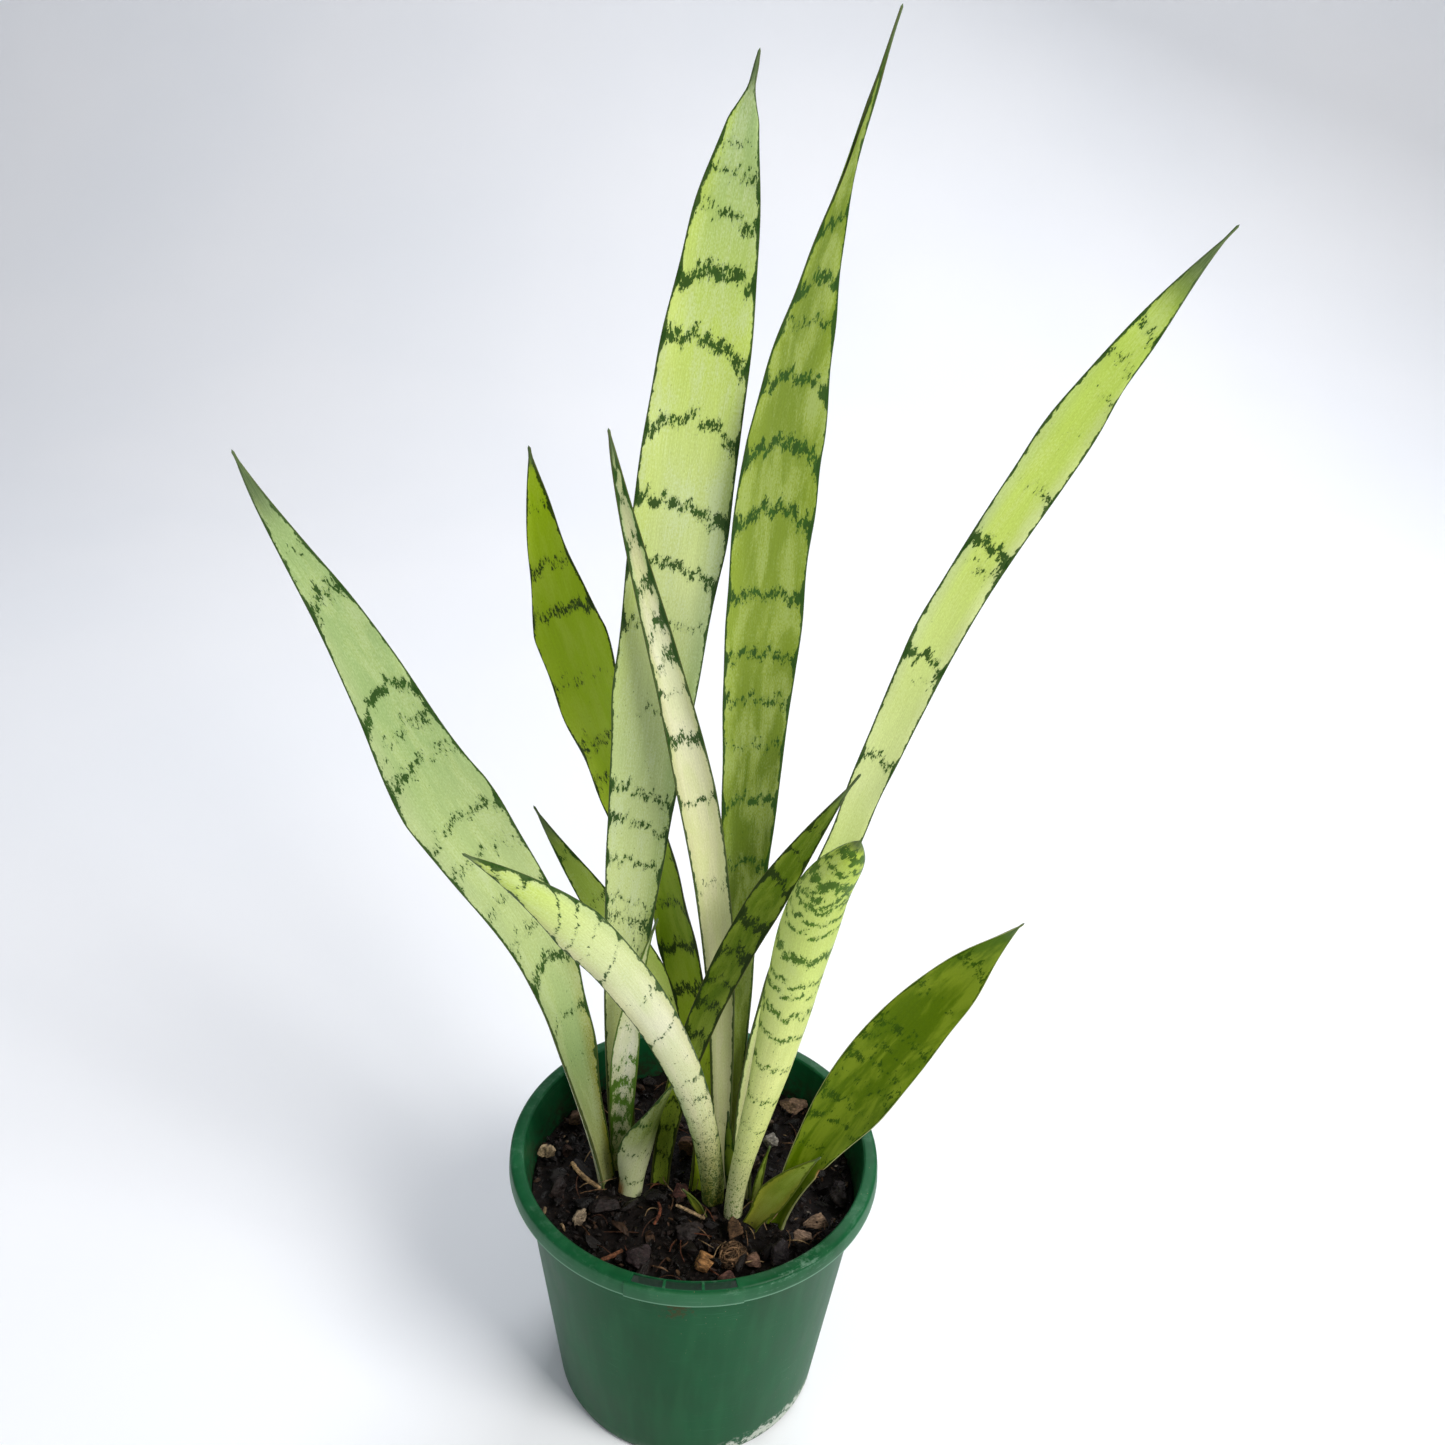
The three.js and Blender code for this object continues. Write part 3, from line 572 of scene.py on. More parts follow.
        width=(3.4, 3.6, 0.3, 1.5, 1), facing=(-20, -20, -20), fold=(40, 35, 30), thick=(1.6, 0.9),
        tints=(
            (0, "khaki"), (0.6, "apple"), (1, "sunlit"),
        ),
        bands=((0.3, 0, 0, 1.4, 0.4, 0.4), (0.7, 0, 0, 1.4, 0.4, 0.5)),
        specks=(0.3, 0.2, 0.1), silver=0.1, tip=2, dark="64801c",
    ),
}

LEAF_SIDES = 44
SPINE_STEPS = 384
ROW_SPACING = 1.7


def unit(vectors):
    return vectors / np.linalg.norm(vectors, axis=-1, keepdims=True)


def blade_width(leaf, s):
    foot, widest, where, late, slender = leaf["width"]
    a = np.clip(s / where, 0, 1)
    rising = foot + (widest - foot) * a * a * (3 - 2 * a)
    b = np.clip((s - where) / (1 - where), 0, 1)
    falling = np.maximum(widest * (1 - b**late) ** slender, TIP_WIDTH)
    return np.where(s < where, rising, falling)


def blade_lines(leaf, s):
    """Middle, normal and across direction, half width, channel fold and thickness at shares s."""
    length = leaf["length"]
    t = np.linspace(0, 1, SPINE_STEPS + 1)
    x = np.sin(np.radians(along(leaf["right"], t)))
    y = np.sin(np.radians(along(leaf["back"], t)))
    z = np.sqrt(np.maximum(1 - x * x - y * y, 0.02))
    ways = unit(np.stack([x, y, z], -1))
    steps = unit(ways[:-1] + ways[1:]) * length / SPINE_STEPS
    foot = np.array([leaf["shoot"][0] + leaf["foot"][0], leaf["shoot"][1] + leaf["foot"][1], SOIL_LEVEL])
    points = foot + np.vstack([np.zeros(3), np.cumsum(steps, 0)])
    inside = np.clip(s, 0, 1)
    middle = np.stack([np.interp(inside, t, points[:, k]) for k in range(3)], -1)
    way = unit(np.stack([np.interp(inside, t, ways[:, k]) for k in range(3)], -1))
    middle = middle + way * (np.minimum(s, 0) * length)[:, None]
    forward = np.array([0.0, -1.0, 0.0])
    face = unit(forward - (way @ forward)[:, None] * way)
    side = np.cross(way, face)
    turn = np.radians(along(leaf["facing"], inside))[:, None]
    normal = face * np.cos(turn) + side * np.sin(turn)
    across = side * np.cos(turn) - face * np.sin(turn)
    size, waves, phase = leaf.get("wave", (0, 1, 0))
    swing = np.clip(4 * s * (1 - s), 0, 1)
    sway = size * swing * np.sin(2 * np.pi * (waves * s + phase))
    start, hooked = leaf.get("hook", (0.9, 0))
    sway = sway + hooked * ease(start, 1.04, s)
    middle = middle + across * sway[:, None]
    half = blade_width(leaf, s) / 2
    fold = np.radians(np.maximum(along(leaf["fold"], inside), 1))
    foot_thick, tip_thick = leaf["thick"]
    plain = foot_thick + (tip_thick - foot_thick) * np.clip(s, 0, 1)
    thick = np.maximum(np.minimum(plain, half * 1.4), TIP_THICKNESS)
    return middle, normal, across, half, fold, thick


def waves_of(seed, x, *lengths):
    """A soft irregular wave along x, from about -1 to 1."""
    draw = np.random.default_rng(seed)
    total = 0
    for length in lengths:
        total = total + np.sin(2 * np.pi * x / length + draw.uniform(0, 6.28))
    return total / len(lengths)


def leaf_tint(leaf, u, s, outside):
    """The smooth ground colour of the leaf."""
    rows = leaf["tints"]
    shares = [row[0] for row in rows]
    colours = np.array([[linear(LEAF_COLOURS[name]) for name in (row[1:] * 3)[:3]] for row in rows])
    side = ease(0.35, 0.95, np.abs(u))[:, None]
    middle = np.stack([np.interp(s, shares, colours[:, 1, k]) for k in range(3)], -1)
    first = np.stack([np.interp(s, shares, colours[:, 0, k]) for k in range(3)], -1)
    last = np.stack([np.interp(s, shares, colours[:, 2, k]) for k in range(3)], -1)
    edge = np.where((u < 0)[:, None], first, last)
    tint = middle + (edge - middle) * side
    if "outer" in leaf:
        low = (1 - ease(0.25, 0.6, s))[:, None] * outside[:, None]
        tint = tint + (linear(leaf["outer"]) - tint) * low
    return tint


def band_density(leaf, u, s, seed):
    """How dark the cross bands are at each point, from 0 to about 1."""
    length = leaf["length"]
    half = blade_width(leaf, s) / 2
    across = u * half
    found = np.zeros_like(u)
    for number, (at, tilt, arch, thick, first, last) in enumerate(leaf["bands"]):
        wander = 2.3 * waves_of(seed * 50 + number, across, 9, 4.7, 2.9) * min(thick / 2, 1.2)
        centre = at * length + tilt * u / 2 - arch * u * u + wander
        spread = 0.85 * thick * (1 + 0.7 * u**4)
        weight = first + (last - first) * (u + 1) / 2
        found = np.maximum(found, weight * np.exp(-(((s * length - centre) / spread) ** 2)))
    return found


def swell(leaf, edge, s):
    """How far one edge swells out beyond the even outline, in millimetres."""
    total = np.zeros_like(s)
    for at, size in leaf.get("bulges", ((), ()))[edge]:
        total = total + size * np.exp(-(((s - at) * leaf["length"] / 13) ** 2))
    return total


def leaf_mesh(name, leaf, seed):
    length = leaf["length"]
    rows = max(int(length / ROW_SPACING), 26)
    above = np.linspace(0, 1, rows)
    shares = np.concatenate([[-BURIED / length, -BURIED / 2 / length], above])
    middle, normal, across, half, fold, thick = blade_lines(leaf, shares)
    mm = shares * length
    half = half * (1 + 0.012 * waves_of(seed, mm, 61, 37) * ease(0.05, 0.3, shares))
    angle = np.arange(LEAF_SIDES) * 2 * np.pi / LEAF_SIDES
    u, v = np.sin(angle), np.cos(angle)
    v = np.sign(v) * np.abs(v) ** 0.8
    if "spike" in leaf:
        left_over = (1 - shares) * length
        apart = left_over / leaf["spike"]
        half = np.minimum(half, 0.6 + 0.6 * apart + 3.2 * np.maximum(apart - 1, 0) ** 1.2)
    grown = np.where(u[None, :] < 0, swell(leaf, 0, shares)[:, None], swell(leaf, 1, shares)[:, None])
    width = half[:, None] + grown * np.abs(u[None, :]) ** 3
    if "nick" in leaf:
        torn = np.exp(-(((shares - leaf["nick"]) * length / 1.6) ** 2))
        width = width - torn[:, None] * 1.5 * (u > 0.55)[None, :] * u[None, :] ** 2
    bend = (half / fold)[:, None]
    turn = u[None, :] * (width / half[:, None]) * fold[:, None]
    lift = v[None, :] * thick[:, None] / 2
    free = ease(0.1, 0.35, shares) * np.minimum(half / 8, 1)
    left = 0.7 * waves_of(seed + 1, mm, 52, 31) * free
    right = 0.7 * waves_of(seed + 2, mm, 47, 29) * free
    ripple = np.where(u[None, :] < 0, left[:, None], right[:, None]) * (u**4)[None, :]
    out = (bend - lift) * np.sin(turn)
    rise = bend - (bend - lift) * np.cos(turn) + ripple
    points = middle[:, None] + across[:, None] * out[..., None] + normal[:, None] * rise[..., None]
    way = unit(middle[-1] - middle[-2])
    ends = [middle[0], middle[-1] + way * 0.9]
    points = np.vstack([points.reshape(-1, 3), ends])
    total = len(shares)
    piece = make_mesh(name, points, tube_faces(total, LEAF_SIDES))

    s = np.append(np.repeat(shares, LEAF_SIDES), [shares[0], 1.0])
    sides = np.append(np.tile(u, total), [0, 0])
    outside = np.append(np.tile(ease(0.3, -0.3, v), total), [0, 0])
    spot_half = np.append(np.repeat(half, LEAF_SIDES), [half[0], half[-1]])
    density = band_density(leaf, sides, s, seed)
    first_edge, last_edge = leaf.get("edge", (1.0, 1.0))
    edge_width = np.where(sides < 0, first_edge, last_edge)
    margin = (1 - np.abs(sides)) * spot_half / edge_width
    give(piece, "leaf_tint", leaf_tint(leaf, sides, s, outside))
    give(piece, "leaf_at", np.stack([sides * spot_half + seed * 90, s * length, outside * 0], -1))
    give(piece, "leaf_mark", np.stack([density, along(leaf["specks"], np.clip(s, 0, 1)), margin], -1))
    dark_tip = ease(1 - 1.5 * leaf["tip"] / length, 1 - 0.45 * leaf["tip"] / length, s)
    scar = np.zeros_like(s)
    if "nick" in leaf:
        near = np.exp(-(((s - leaf["nick"]) * length / 2.6) ** 2))
        scar = near * ease(0.9, 1.0, sides)
    if "scale" in leaf:
        scar = ease(7, 1, s * length) * ease(0.5, 0.75, sides)
    give(piece, "leaf_more", np.stack([np.full_like(s, leaf["silver"]), dark_tip, scar], -1))
    return piece


def leaf_material(name, leaf):
    g = Graph(name + "_skin")
    at = g.attribute("leaf_at")
    tint = g.attribute("leaf_tint")
    band, specks, margin = g.parts(g.attribute("leaf_mark"))
    silver, tip, scar = g.parts(g.attribute("leaf_more"))
    dark = rgba(leaf.get("dark", "2a4f12"))
    darker = (*(0.72 * value for value in dark[:3]), 1.0)
    fibres = g.noise(g.times(at, (2.6, 0.06, 1)), detail=3, roughness=0.65)
    hairs = g.noise(g.times(at, (6.5, 0.15, 1)), detail=1)
    clouds = g.noise(g.times(at, (0.16, 0.035, 1)), detail=4, roughness=0.6, distortion=0.4)
    flecks = g.noise(g.times(at, (1.15, 0.42, 1)), detail=2.5, roughness=0.62, distortion=0.5)
    grain = g.noise(g.times(at, (2.6, 1.0, 1)), detail=1.5, roughness=0.6)
    patches = g.noise(g.times(at, (0.34, 0.22, 1)), detail=2)

    ground = g.shade(tint, g.span(fibres, 0.25, 0.75, 0.94, 1.06))
    ground = g.shade(ground, g.span(hairs, 0.3, 0.7, 0.975, 1.025))
    ground = g.shade(ground, g.span(grain, 0.3, 0.7, 0.94, 1.06))
    warm = g.mix(g.span(clouds, 0.42, 0.62), ground, g.mix(0.5, ground, rgba("b4c43c")), "MIX")
    ground = g.mix(0.42, ground, warm)
    dusting = g.add(g.multiply(fibres, 0.2), g.multiply(grain, 0.35))
    dusting = g.add(dusting, g.multiply(clouds, 0.6))
    bloom = g.multiply(g.span(dusting, 0.52, 0.72), silver)
    ground = g.mix(g.multiply(bloom, 0.5), ground, rgba("cfdac6"))

    ragged = g.add(g.multiply(g.subtract(flecks, 0.5), 2.3), g.multiply(g.subtract(grain, 0.5), 1.1))
    ragged = g.add(ragged, g.multiply(g.subtract(patches, 0.5), 1.1))
    strength = g.add(band, ragged)
    bands = g.multiply(g.span(strength, 0.62, 0.8), g.span(band, 0.06, 0.3))
    halo = g.multiply(g.span(band, 0.2, 1.0), g.span(clouds, 0.3, 0.65))
    fringe = g.multiply(g.span(strength, 0.4, 0.6), g.span(band, 0.1, 0.4))
    freckle = g.subtract(g.add(g.multiply(flecks, 0.75), g.multiply(grain, 0.6)), g.multiply(specks, 0.42))
    freckles = g.multiply(g.span(freckle, 0.405, 0.33), g.span(specks, 0.0, 0.12))
    edge = g.add(margin, g.multiply(g.subtract(flecks, 0.5), 1.5))
    edge = g.add(edge, g.multiply(g.subtract(patches, 0.45), 1.8))
    edge = g.subtract(edge, g.multiply(band, 1.0))
    edges = g.math("MAXIMUM", g.span(edge, 0.75, 0.4), g.span(margin, 0.5, 0.3))

    colour = g.mix(g.multiply(halo, 0.34), ground, g.mix(0.45, ground, dark))
    colour = g.mix(g.multiply(fringe, 0.42), colour, g.mix(0.5, ground, dark))
    colour = g.mix(g.multiply(freckles, 0.78), colour, dark)
    shadow = g.mix(g.span(patches, 0.35, 0.65), dark, darker)
    colour = g.mix(g.multiply(bands, 0.95), colour, shadow)
    colour = g.mix(g.multiply(edges, 0.94), colour, darker)
    tipped = g.mix(g.span(fibres, 0.35, 0.7), rgba("3f5233"), rgba("66784c"))
    colour = g.mix(g.multiply(tip, 0.9), colour, tipped)
    # A line along the margins: the leaf's own dark edge by default; where a leaf gives a pale rim colour, it
    # is painted glow of light through the edge.
    rim = g.span(margin, *leaf.get("rim_width", (0.16, 0.05)))
    colour = g.mix(g.multiply(rim, 0.55), colour, rgba(leaf.get("rim", "5c5a30")))
    husk = g.mix(g.span(fibres, 0.3, 0.7), rgba("6b4526"), rgba("b98a50"))
    colour = g.mix(g.multiply(scar, g.span(grain, 0.2, 0.5, 0.75, 1.0)), colour, husk)
    g.set("Base Color", colour)
    gloss = g.span(g.add(clouds, g.multiply(bloom, 0.3)), 0.3, 0.85, 0.34, 0.55)
    g.set("Roughness", gloss)
    g.set("Specular IOR Level", leaf.get("shine", 0.16))
    relief = g.add(g.multiply(fibres, 0.7), g.multiply(grain, 0.3))
    relief = g.subtract(relief, g.multiply(bands, 0.15))
    g.bump(relief, 0.22, 0.6)
    return g.material


leaf_points = []
for seed, (name, leaf) in enumerate(LEAVES.items()):
    piece = leaf_mesh(name + "_blade", leaf, seed + 3)
    settle(piece, name, leaf_material(name, leaf), name)
    for vertex in piece.data.vertices:
        if SOIL_LEVEL - 6 < vertex.co.z / MM < SOIL_LEVEL + 12:
            leaf_points.append(vertex.co / MM)

# ---------------------------------------------------------------- pot

ROUND = 192


def lathe(name, profile, steps=ROUND):
    """A turned body from (radius, height) points; the first and the last lie on the axis."""
    inner = profile[1:-1]
    angle = np.arange(steps) * 2 * np.pi / steps
    rings = [np.stack([r * np.cos(angle), r * np.sin(angle), np.full(steps, z)], -1) for r, z in inner]
    ends = [(0, 0, profile[0][1]), (0, 0, profile[-1][1])]
    return make_mesh(name, np.vstack([*rings, ends]), tube_faces(len(inner), steps))


def ring_block(name, inner, outer, low, high, start, end, steps):
    """Part of a ring at the front, between two angles from the front towards the right."""
    points = []
    for k in range(steps + 1):
        angle = math.radians(start + (end - start) * k / steps - 90)
        for radius in (inner, outer):
            for height in (low, high):
                points.append((radius * math.cos(angle), radius * math.sin(angle), height))
    faces = [(0, 2, 3, 1), (4 * steps, 4 * steps + 1, 4 * steps + 3, 4 * steps + 2)]
    for k in range(steps):
        a, b = 4 * k, 4 * k + 4
        faces += [(a, a + 1, b + 1, b), (a + 2, b + 2, b + 3, a + 3),
                  (a + 1, a + 3, b + 3, b + 1), (a, b, b + 2, a + 2)]
    block = make_mesh(name, points, faces, smooth=False)
    tidy_normals(block)
    return block


def tidy_normals(piece):
    shape = bmesh.new()
    shape.from_mesh(piece.data)
    bmesh.ops.recalc_face_normals(shape, faces=shape.faces)
    shape.to_mesh(piece.data)
    shape.free()


def carve(piece, tool, operation):
    modifier = piece.modifiers.new("cut", "BOOLEAN")
    modifier.operation = operation
    modifier.solver = "EXACT"
    modifier.object = tool
    apply_modifiers(piece)
    bpy.data.objects.remove(tool)


def apply_modifiers(piece):
    bpy.context.view_layer.update()
    graph = bpy.context.evaluated_depsgraph_get()
    finished = bpy.data.meshes.new_from_object(piece.evaluated_get(graph))
    piece.modifiers.clear()
    piece.data = finished


def round_wall(count, start, end):
    """Evenly spaced heights on the sloping wall, so that the wear has points to lie on."""
    r0, z0 = start
    r1, z1 = end
    return [(r0 + (r1 - r0) * k / count, z0 + (z1 - z0) * k / count) for k in range(1, count)]


def make_pot():
    top = POT_HEIGHT
    foot_out, top_out = (BASE_RADIUS, FOOT_HEIGHT), (WALL_TOP, top - WEB)
    foot_in, top_in = (BASE_RADIUS - WALL, FLOOR + 3), (RIM_INNER, top - 0.6)
    profile = [(0, 0), (20, 0), (BASE_RADIUS - 2.5, 0), (BASE_RADIUS - 0.8, 0.7), foot_out]
    profile += round_wall(24, foot_out, top_out)
    profile += [
        top_out,
        (SKIRT_INNER, top - WEB),
        (SKIRT_INNER + LIP_FLARE, top - RIM_DEPTH),
        (RIM_RADIUS + LIP_FLARE, top - RIM_DEPTH),
        (RIM_RADIUS + LIP_FLARE / 2, top - RIM_DEPTH / 2),
        (RIM_RADIUS, top - 1.3),
        (RIM_RADIUS - 0.25, top - 0.7),
        (RIM_RADIUS - 0.9, top - 0.25),
        (RIM_RADIUS - 2, top),
        (RIM_INNER + 0.7, top),
        top_in,
    ]
    profile += round_wall(16, top_in, foot_in)
    profile += [foot_in, (BASE_RADIUS - WALL - 2.5, FLOOR), (20, FLOOR), (0, FLOOR)]
    pot = lathe("nursery_pot_wall", profile)
    pad = ring_block("pad", SKIRT_INNER + LIP_FLARE + 0.1, RIM_RADIUS + LIP_FLARE + PAD_PROUD,
                     top - RIM_DEPTH, top - 0.5, SLOT_FROM - PAD_MARGIN, SLOT_TO + PAD_MARGIN, 24)
    carve(pot, pad, "UNION")
    half_rib = math.degrees(RIB_WIDTH / 2 / RIM_RADIUS)
    starts = [SLOT_FROM, *[rib + half_rib for rib in SLOT_RIBS]]
    ends = [*[rib - half_rib for rib in SLOT_RIBS], SLOT_TO]
    for start, end in zip(starts, ends):
        cell = ring_block("cell", WALL_TOP, SKIRT_INNER, top - WEB - 1, top + 1, start, end, 10)
        carve(pot, cell, "DIFFERENCE")
    for k in range(DRAIN_HOLES):
        angle = (k + 0.5) * 2 * math.pi / DRAIN_HOLES
        x, y = DRAIN_RING * math.cos(angle), DRAIN_RING * math.sin(angle)
        circle = np.arange(32) * 2 * np.pi / 32
        ring = np.stack([x + DRAIN_RADIUS * np.cos(circle), y + DRAIN_RADIUS * np.sin(circle)], -1)
        stacked = [np.column_stack([ring, np.full(32, h)]) for h in (-1.0, 3.0)]
        drill = make_mesh("drill", np.vstack([*stacked, [(x, y, -1.0), (x, y, 3.0)]]), tube_faces(2, 32))
        tidy_normals(drill)
        carve(pot, drill, "DIFFERENCE")
    pot.data.set_sharp_from_angle(angle=math.radians(32))
    softened = pot.modifiers.new("soft_edges", "BEVEL")
    softened.width = EDGE_ROUNDING * MM
    softened.segments = 2
    softened.limit_method = "ANGLE"
    softened.angle_limit = math.radians(40)
    softened.use_clamp_overlap = True
    apply_modifiers(pot)
    pot.data.polygons.foreach_set("use_smooth", [True] * len(pot.data.polygons))
    pot.data.set_sharp_from_angle(angle=math.radians(50))
    points = np.empty(len(pot.data.vertices) * 3)
    pot.data.vertices.foreach_get("co", points)
    x, y, z = (points.reshape(-1, 3) / MM).T
    around = np.degrees(np.arctan2(x, -y))
    radius = np.hypot(x, y)
    outside = (radius > BASE_RADIUS + (z - FOOT_HEIGHT) * WALL_SLOPE - 0.4).astype(float)
    smear = 0.75 * outside * np.exp(-(((around + 3) / 8) ** 2) - ((z - 97) / 7) ** 2)
    low = outside + (z < FOOT_HEIGHT + 0.1)
    residue = low * ease(11, 1.5, z) * (0.15 + 2.6 * np.exp(-(((around - 44) / 22) ** 2)))
    scuff = ease(top - 8, top - 2, z) * (0.25 + np.exp(-(((around - 28) / 14) ** 2)))
    give(pot, "pot_wear", np.stack([smear, residue, scuff], -1))
    inside = (radius < WALL_TOP - 0.3) * (z < top - 1) * (1 - outside)
    # gap marks the recess under the rim and the walls of the label slot cells, which get painted shade
    gap = (z > top - RIM_DEPTH - 0.3) * (z < top - WEB + 0.05)
    gap = gap * (radius > RIM_INNER) * (radius < SKIRT_INNER + LIP_FLARE + 0.05)
    # lip marks the rim's outer face, which gets a painted sheen and a painted highlight line at its lower
    # edge
    lip = radius > RIM_RADIUS - 0.2
    # The three values: the soil stain inside the wall, the recess that gets painted shade, the lip that gets
    # painted sheen and highlight.
    give(pot, "pot_soil_shade_sheen", np.stack([inside * ease(top - 3, SOIL_LEVEL + 1, z), gap, lip], -1))
    return pot


def pot_material():
    g = Graph("green_nursery_plastic")
    at = g.place()
    smear, residue, scuff = g.parts(g.attribute("pot_wear"))
    # soiled is the soil stain inside the wall, gap the recess that gets painted shade, lip the outer face
    # that gets painted sheen and highlight
    soiled, gap, lip = g.parts(g.attribute("pot_soil_shade_sheen"))
    _, _, height = g.parts(at)
    cloud = g.noise(g.times(at, (28, 28, 16)), detail=4, roughness=0.6)
    flow = g.noise(g.times(at, (190, 190, 9)), detail=2)
    fine = g.noise(at, scale=900, detail=3, roughness=0.7)
    scratch = g.noise(g.times(at, (60, 60, 1500)), detail=2, roughness=0.7, distortion=0.3)
    dust = g.noise(at, scale=330, detail=4, roughness=0.75)
    specks = g.cells(at, scale=420)
    green = g.mix(g.span(cloud, 0.3, 0.7), rgba("0c4424"), rgba("11522f"))
    green = g.mix(g.multiply(g.span(flow, 0.4, 0.7), 0.2), green, rgba("27683f"))
    wipes = g.multiply(g.span(scratch, 0.6, 0.72), g.span(cloud, 0.45, 0.65))
    green = g.mix(g.multiply(wipes, 0.14), green, rgba("5f9274"))
    pale = g.span(g.multiply(residue, g.span(dust, 0.4, 0.62)), 0.1, 0.7)
    green = g.mix(g.multiply(pale, 0.85), green, rgba("c9cfc2"))
    rubbed = g.multiply(scuff, g.span(g.add(g.multiply(scratch, 0.6), g.multiply(dust, 0.6)), 0.6, 0.78))
    green = g.mix(g.multiply(rubbed, 0.35), green, rgba("8fb39c"))
    dirt = g.span(g.add(smear, g.multiply(g.subtract(dust, 0.5), 2.6)), 0.5, 0.9)
    green = g.mix(g.multiply(dirt, 0.5), green, rgba("5a4030"))
    splash = g.multiply(g.span(specks, 0.09, 0.05), g.span(cloud, 0.5, 0.62))
    green = g.mix(g.multiply(splash, 0.5), green, rgba("9a8a70"))
    inner = g.multiply(soiled, g.span(dust, 0.35, 0.65))
    green = g.mix(g.multiply(inner, 0.9), green, rgba("2a2019"))
    # Painted highlight: a thin light green line along the lower edge of the lip.
    low, high = (POT_HEIGHT - RIM_DEPTH + 0.15) * MM, (POT_HEIGHT - RIM_DEPTH + 0.75) * MM
    painted_lip_highlight = g.multiply(g.span(height, high, low), lip)
    # Painted sheen: the lip's outer face is made a lighter green, patchy with the cloud noise.
    green = g.mix(g.multiply(lip, g.span(cloud, 0.3, 0.7, 0.15, 0.4)), green, rgba("4f7f60"))
    green = g.mix(g.multiply(painted_lip_highlight, 0.6), green, rgba("7fae90"))
    # Painted shade: the recess under the rim and the label slot cells are darkened to a deep green.
    green = g.mix(g.multiply(gap, 0.75), green, rgba("08301a"))
    g.set("Base Color", green)
    worn = g.add(g.multiply(pale, 0.3), g.multiply(dirt, 0.4))
    g.set("Roughness", g.add(g.span(cloud, 0.3, 0.7, 0.34, 0.45), worn))
    g.set("Specular IOR Level", 0.1)
    relief = g.add(g.multiply(fine, 0.35), g.multiply(flow, 0.4))
    relief = g.add(relief, g.multiply(dirt, 0.8))
    g.bump(relief, 0.16, 0.5)
    return g.material


settle(make_pot(), "pot_plastic", pot_material(), "nursery_pot")

# ---------------------------------------------------------------- potting mix

# Rows of (smallest, largest, how many are tried).
BIT_SIZES = ((7, 13, 110), (4, 7.5, 440), (1.8, 4, 1500))
BIT_KINDS = 24
BIG_BIT = 4
HAIR_TRIES = 70
CLUMP_ROOTS = 85
ROOT_STEPS = 16
ROOT_SIDES = 5

def mix_radius(z):
    """The radius of the mix inside the pot's wall."""
    return BASE_RADIUS - WALL + WALL_SLOPE * (z - FLOOR - 3) - 0.35


def make_bed():
    rings, steps = 46, 160
    edge = mix_radius(SOIL_LEVEL) - 0.3
    profile = [(0, FLOOR + 0.4), (BASE_RADIUS - WALL - 3, FLOOR + 0.4)]
    profile += [(mix_radius(z), z) for z in (6, 30, 60, 85, SOIL_LEVEL - 2.2)]
    profile += [(edge * (1 - k / rings), SOIL_LEVEL) for k in range(rings)]
    profile += [(0, SOIL_LEVEL)]
    bed = lathe("potting_mix_bed", profile, steps)
    for vertex in bed.data.vertices:
        x, y, z = vertex.co / MM
        if z > SOIL_LEVEL - 0.5:
            inside = float(ease(edge, edge - 6, math.hypot(x, y)))
            crumb = noise.fractal(Vector((x / 5, y / 5, 3)), 0.8, 2.2, 4)
            lump = noise.noise(Vector((x / 11, y / 11, 9)))
            rise = unevenness(x, y) - 0.5 + 1.1 * crumb + 1.1 * lump
            vertex.co.z = (SOIL_LEVEL - BED_DROP + rise * (0.4 + 0.6 * inside)) * MM
    return bed


def ico(level):
    """Points and faces of a ball of triangles."""
    shape = bmesh.new()
    bmesh.ops.create_icosphere(shape, subdivisions=level, radius=1)
    points = np.array([v.co for v in shape.verts])
    faces = np.array([[v.index for v in f.verts] for f in shape.faces])
    shape.free()
    return points, faces


def chop(points, draw, cuts, depth):
    """Presses points flat against random planes, to give a ball the faces of a broken chip."""
    for _ in range(cuts):
        normal = unit(draw.normal(size=3))
        offset = draw.uniform(*depth)
        over = np.maximum(points @ normal - offset, 0)
        points = points - over[:, None] * normal
    return points


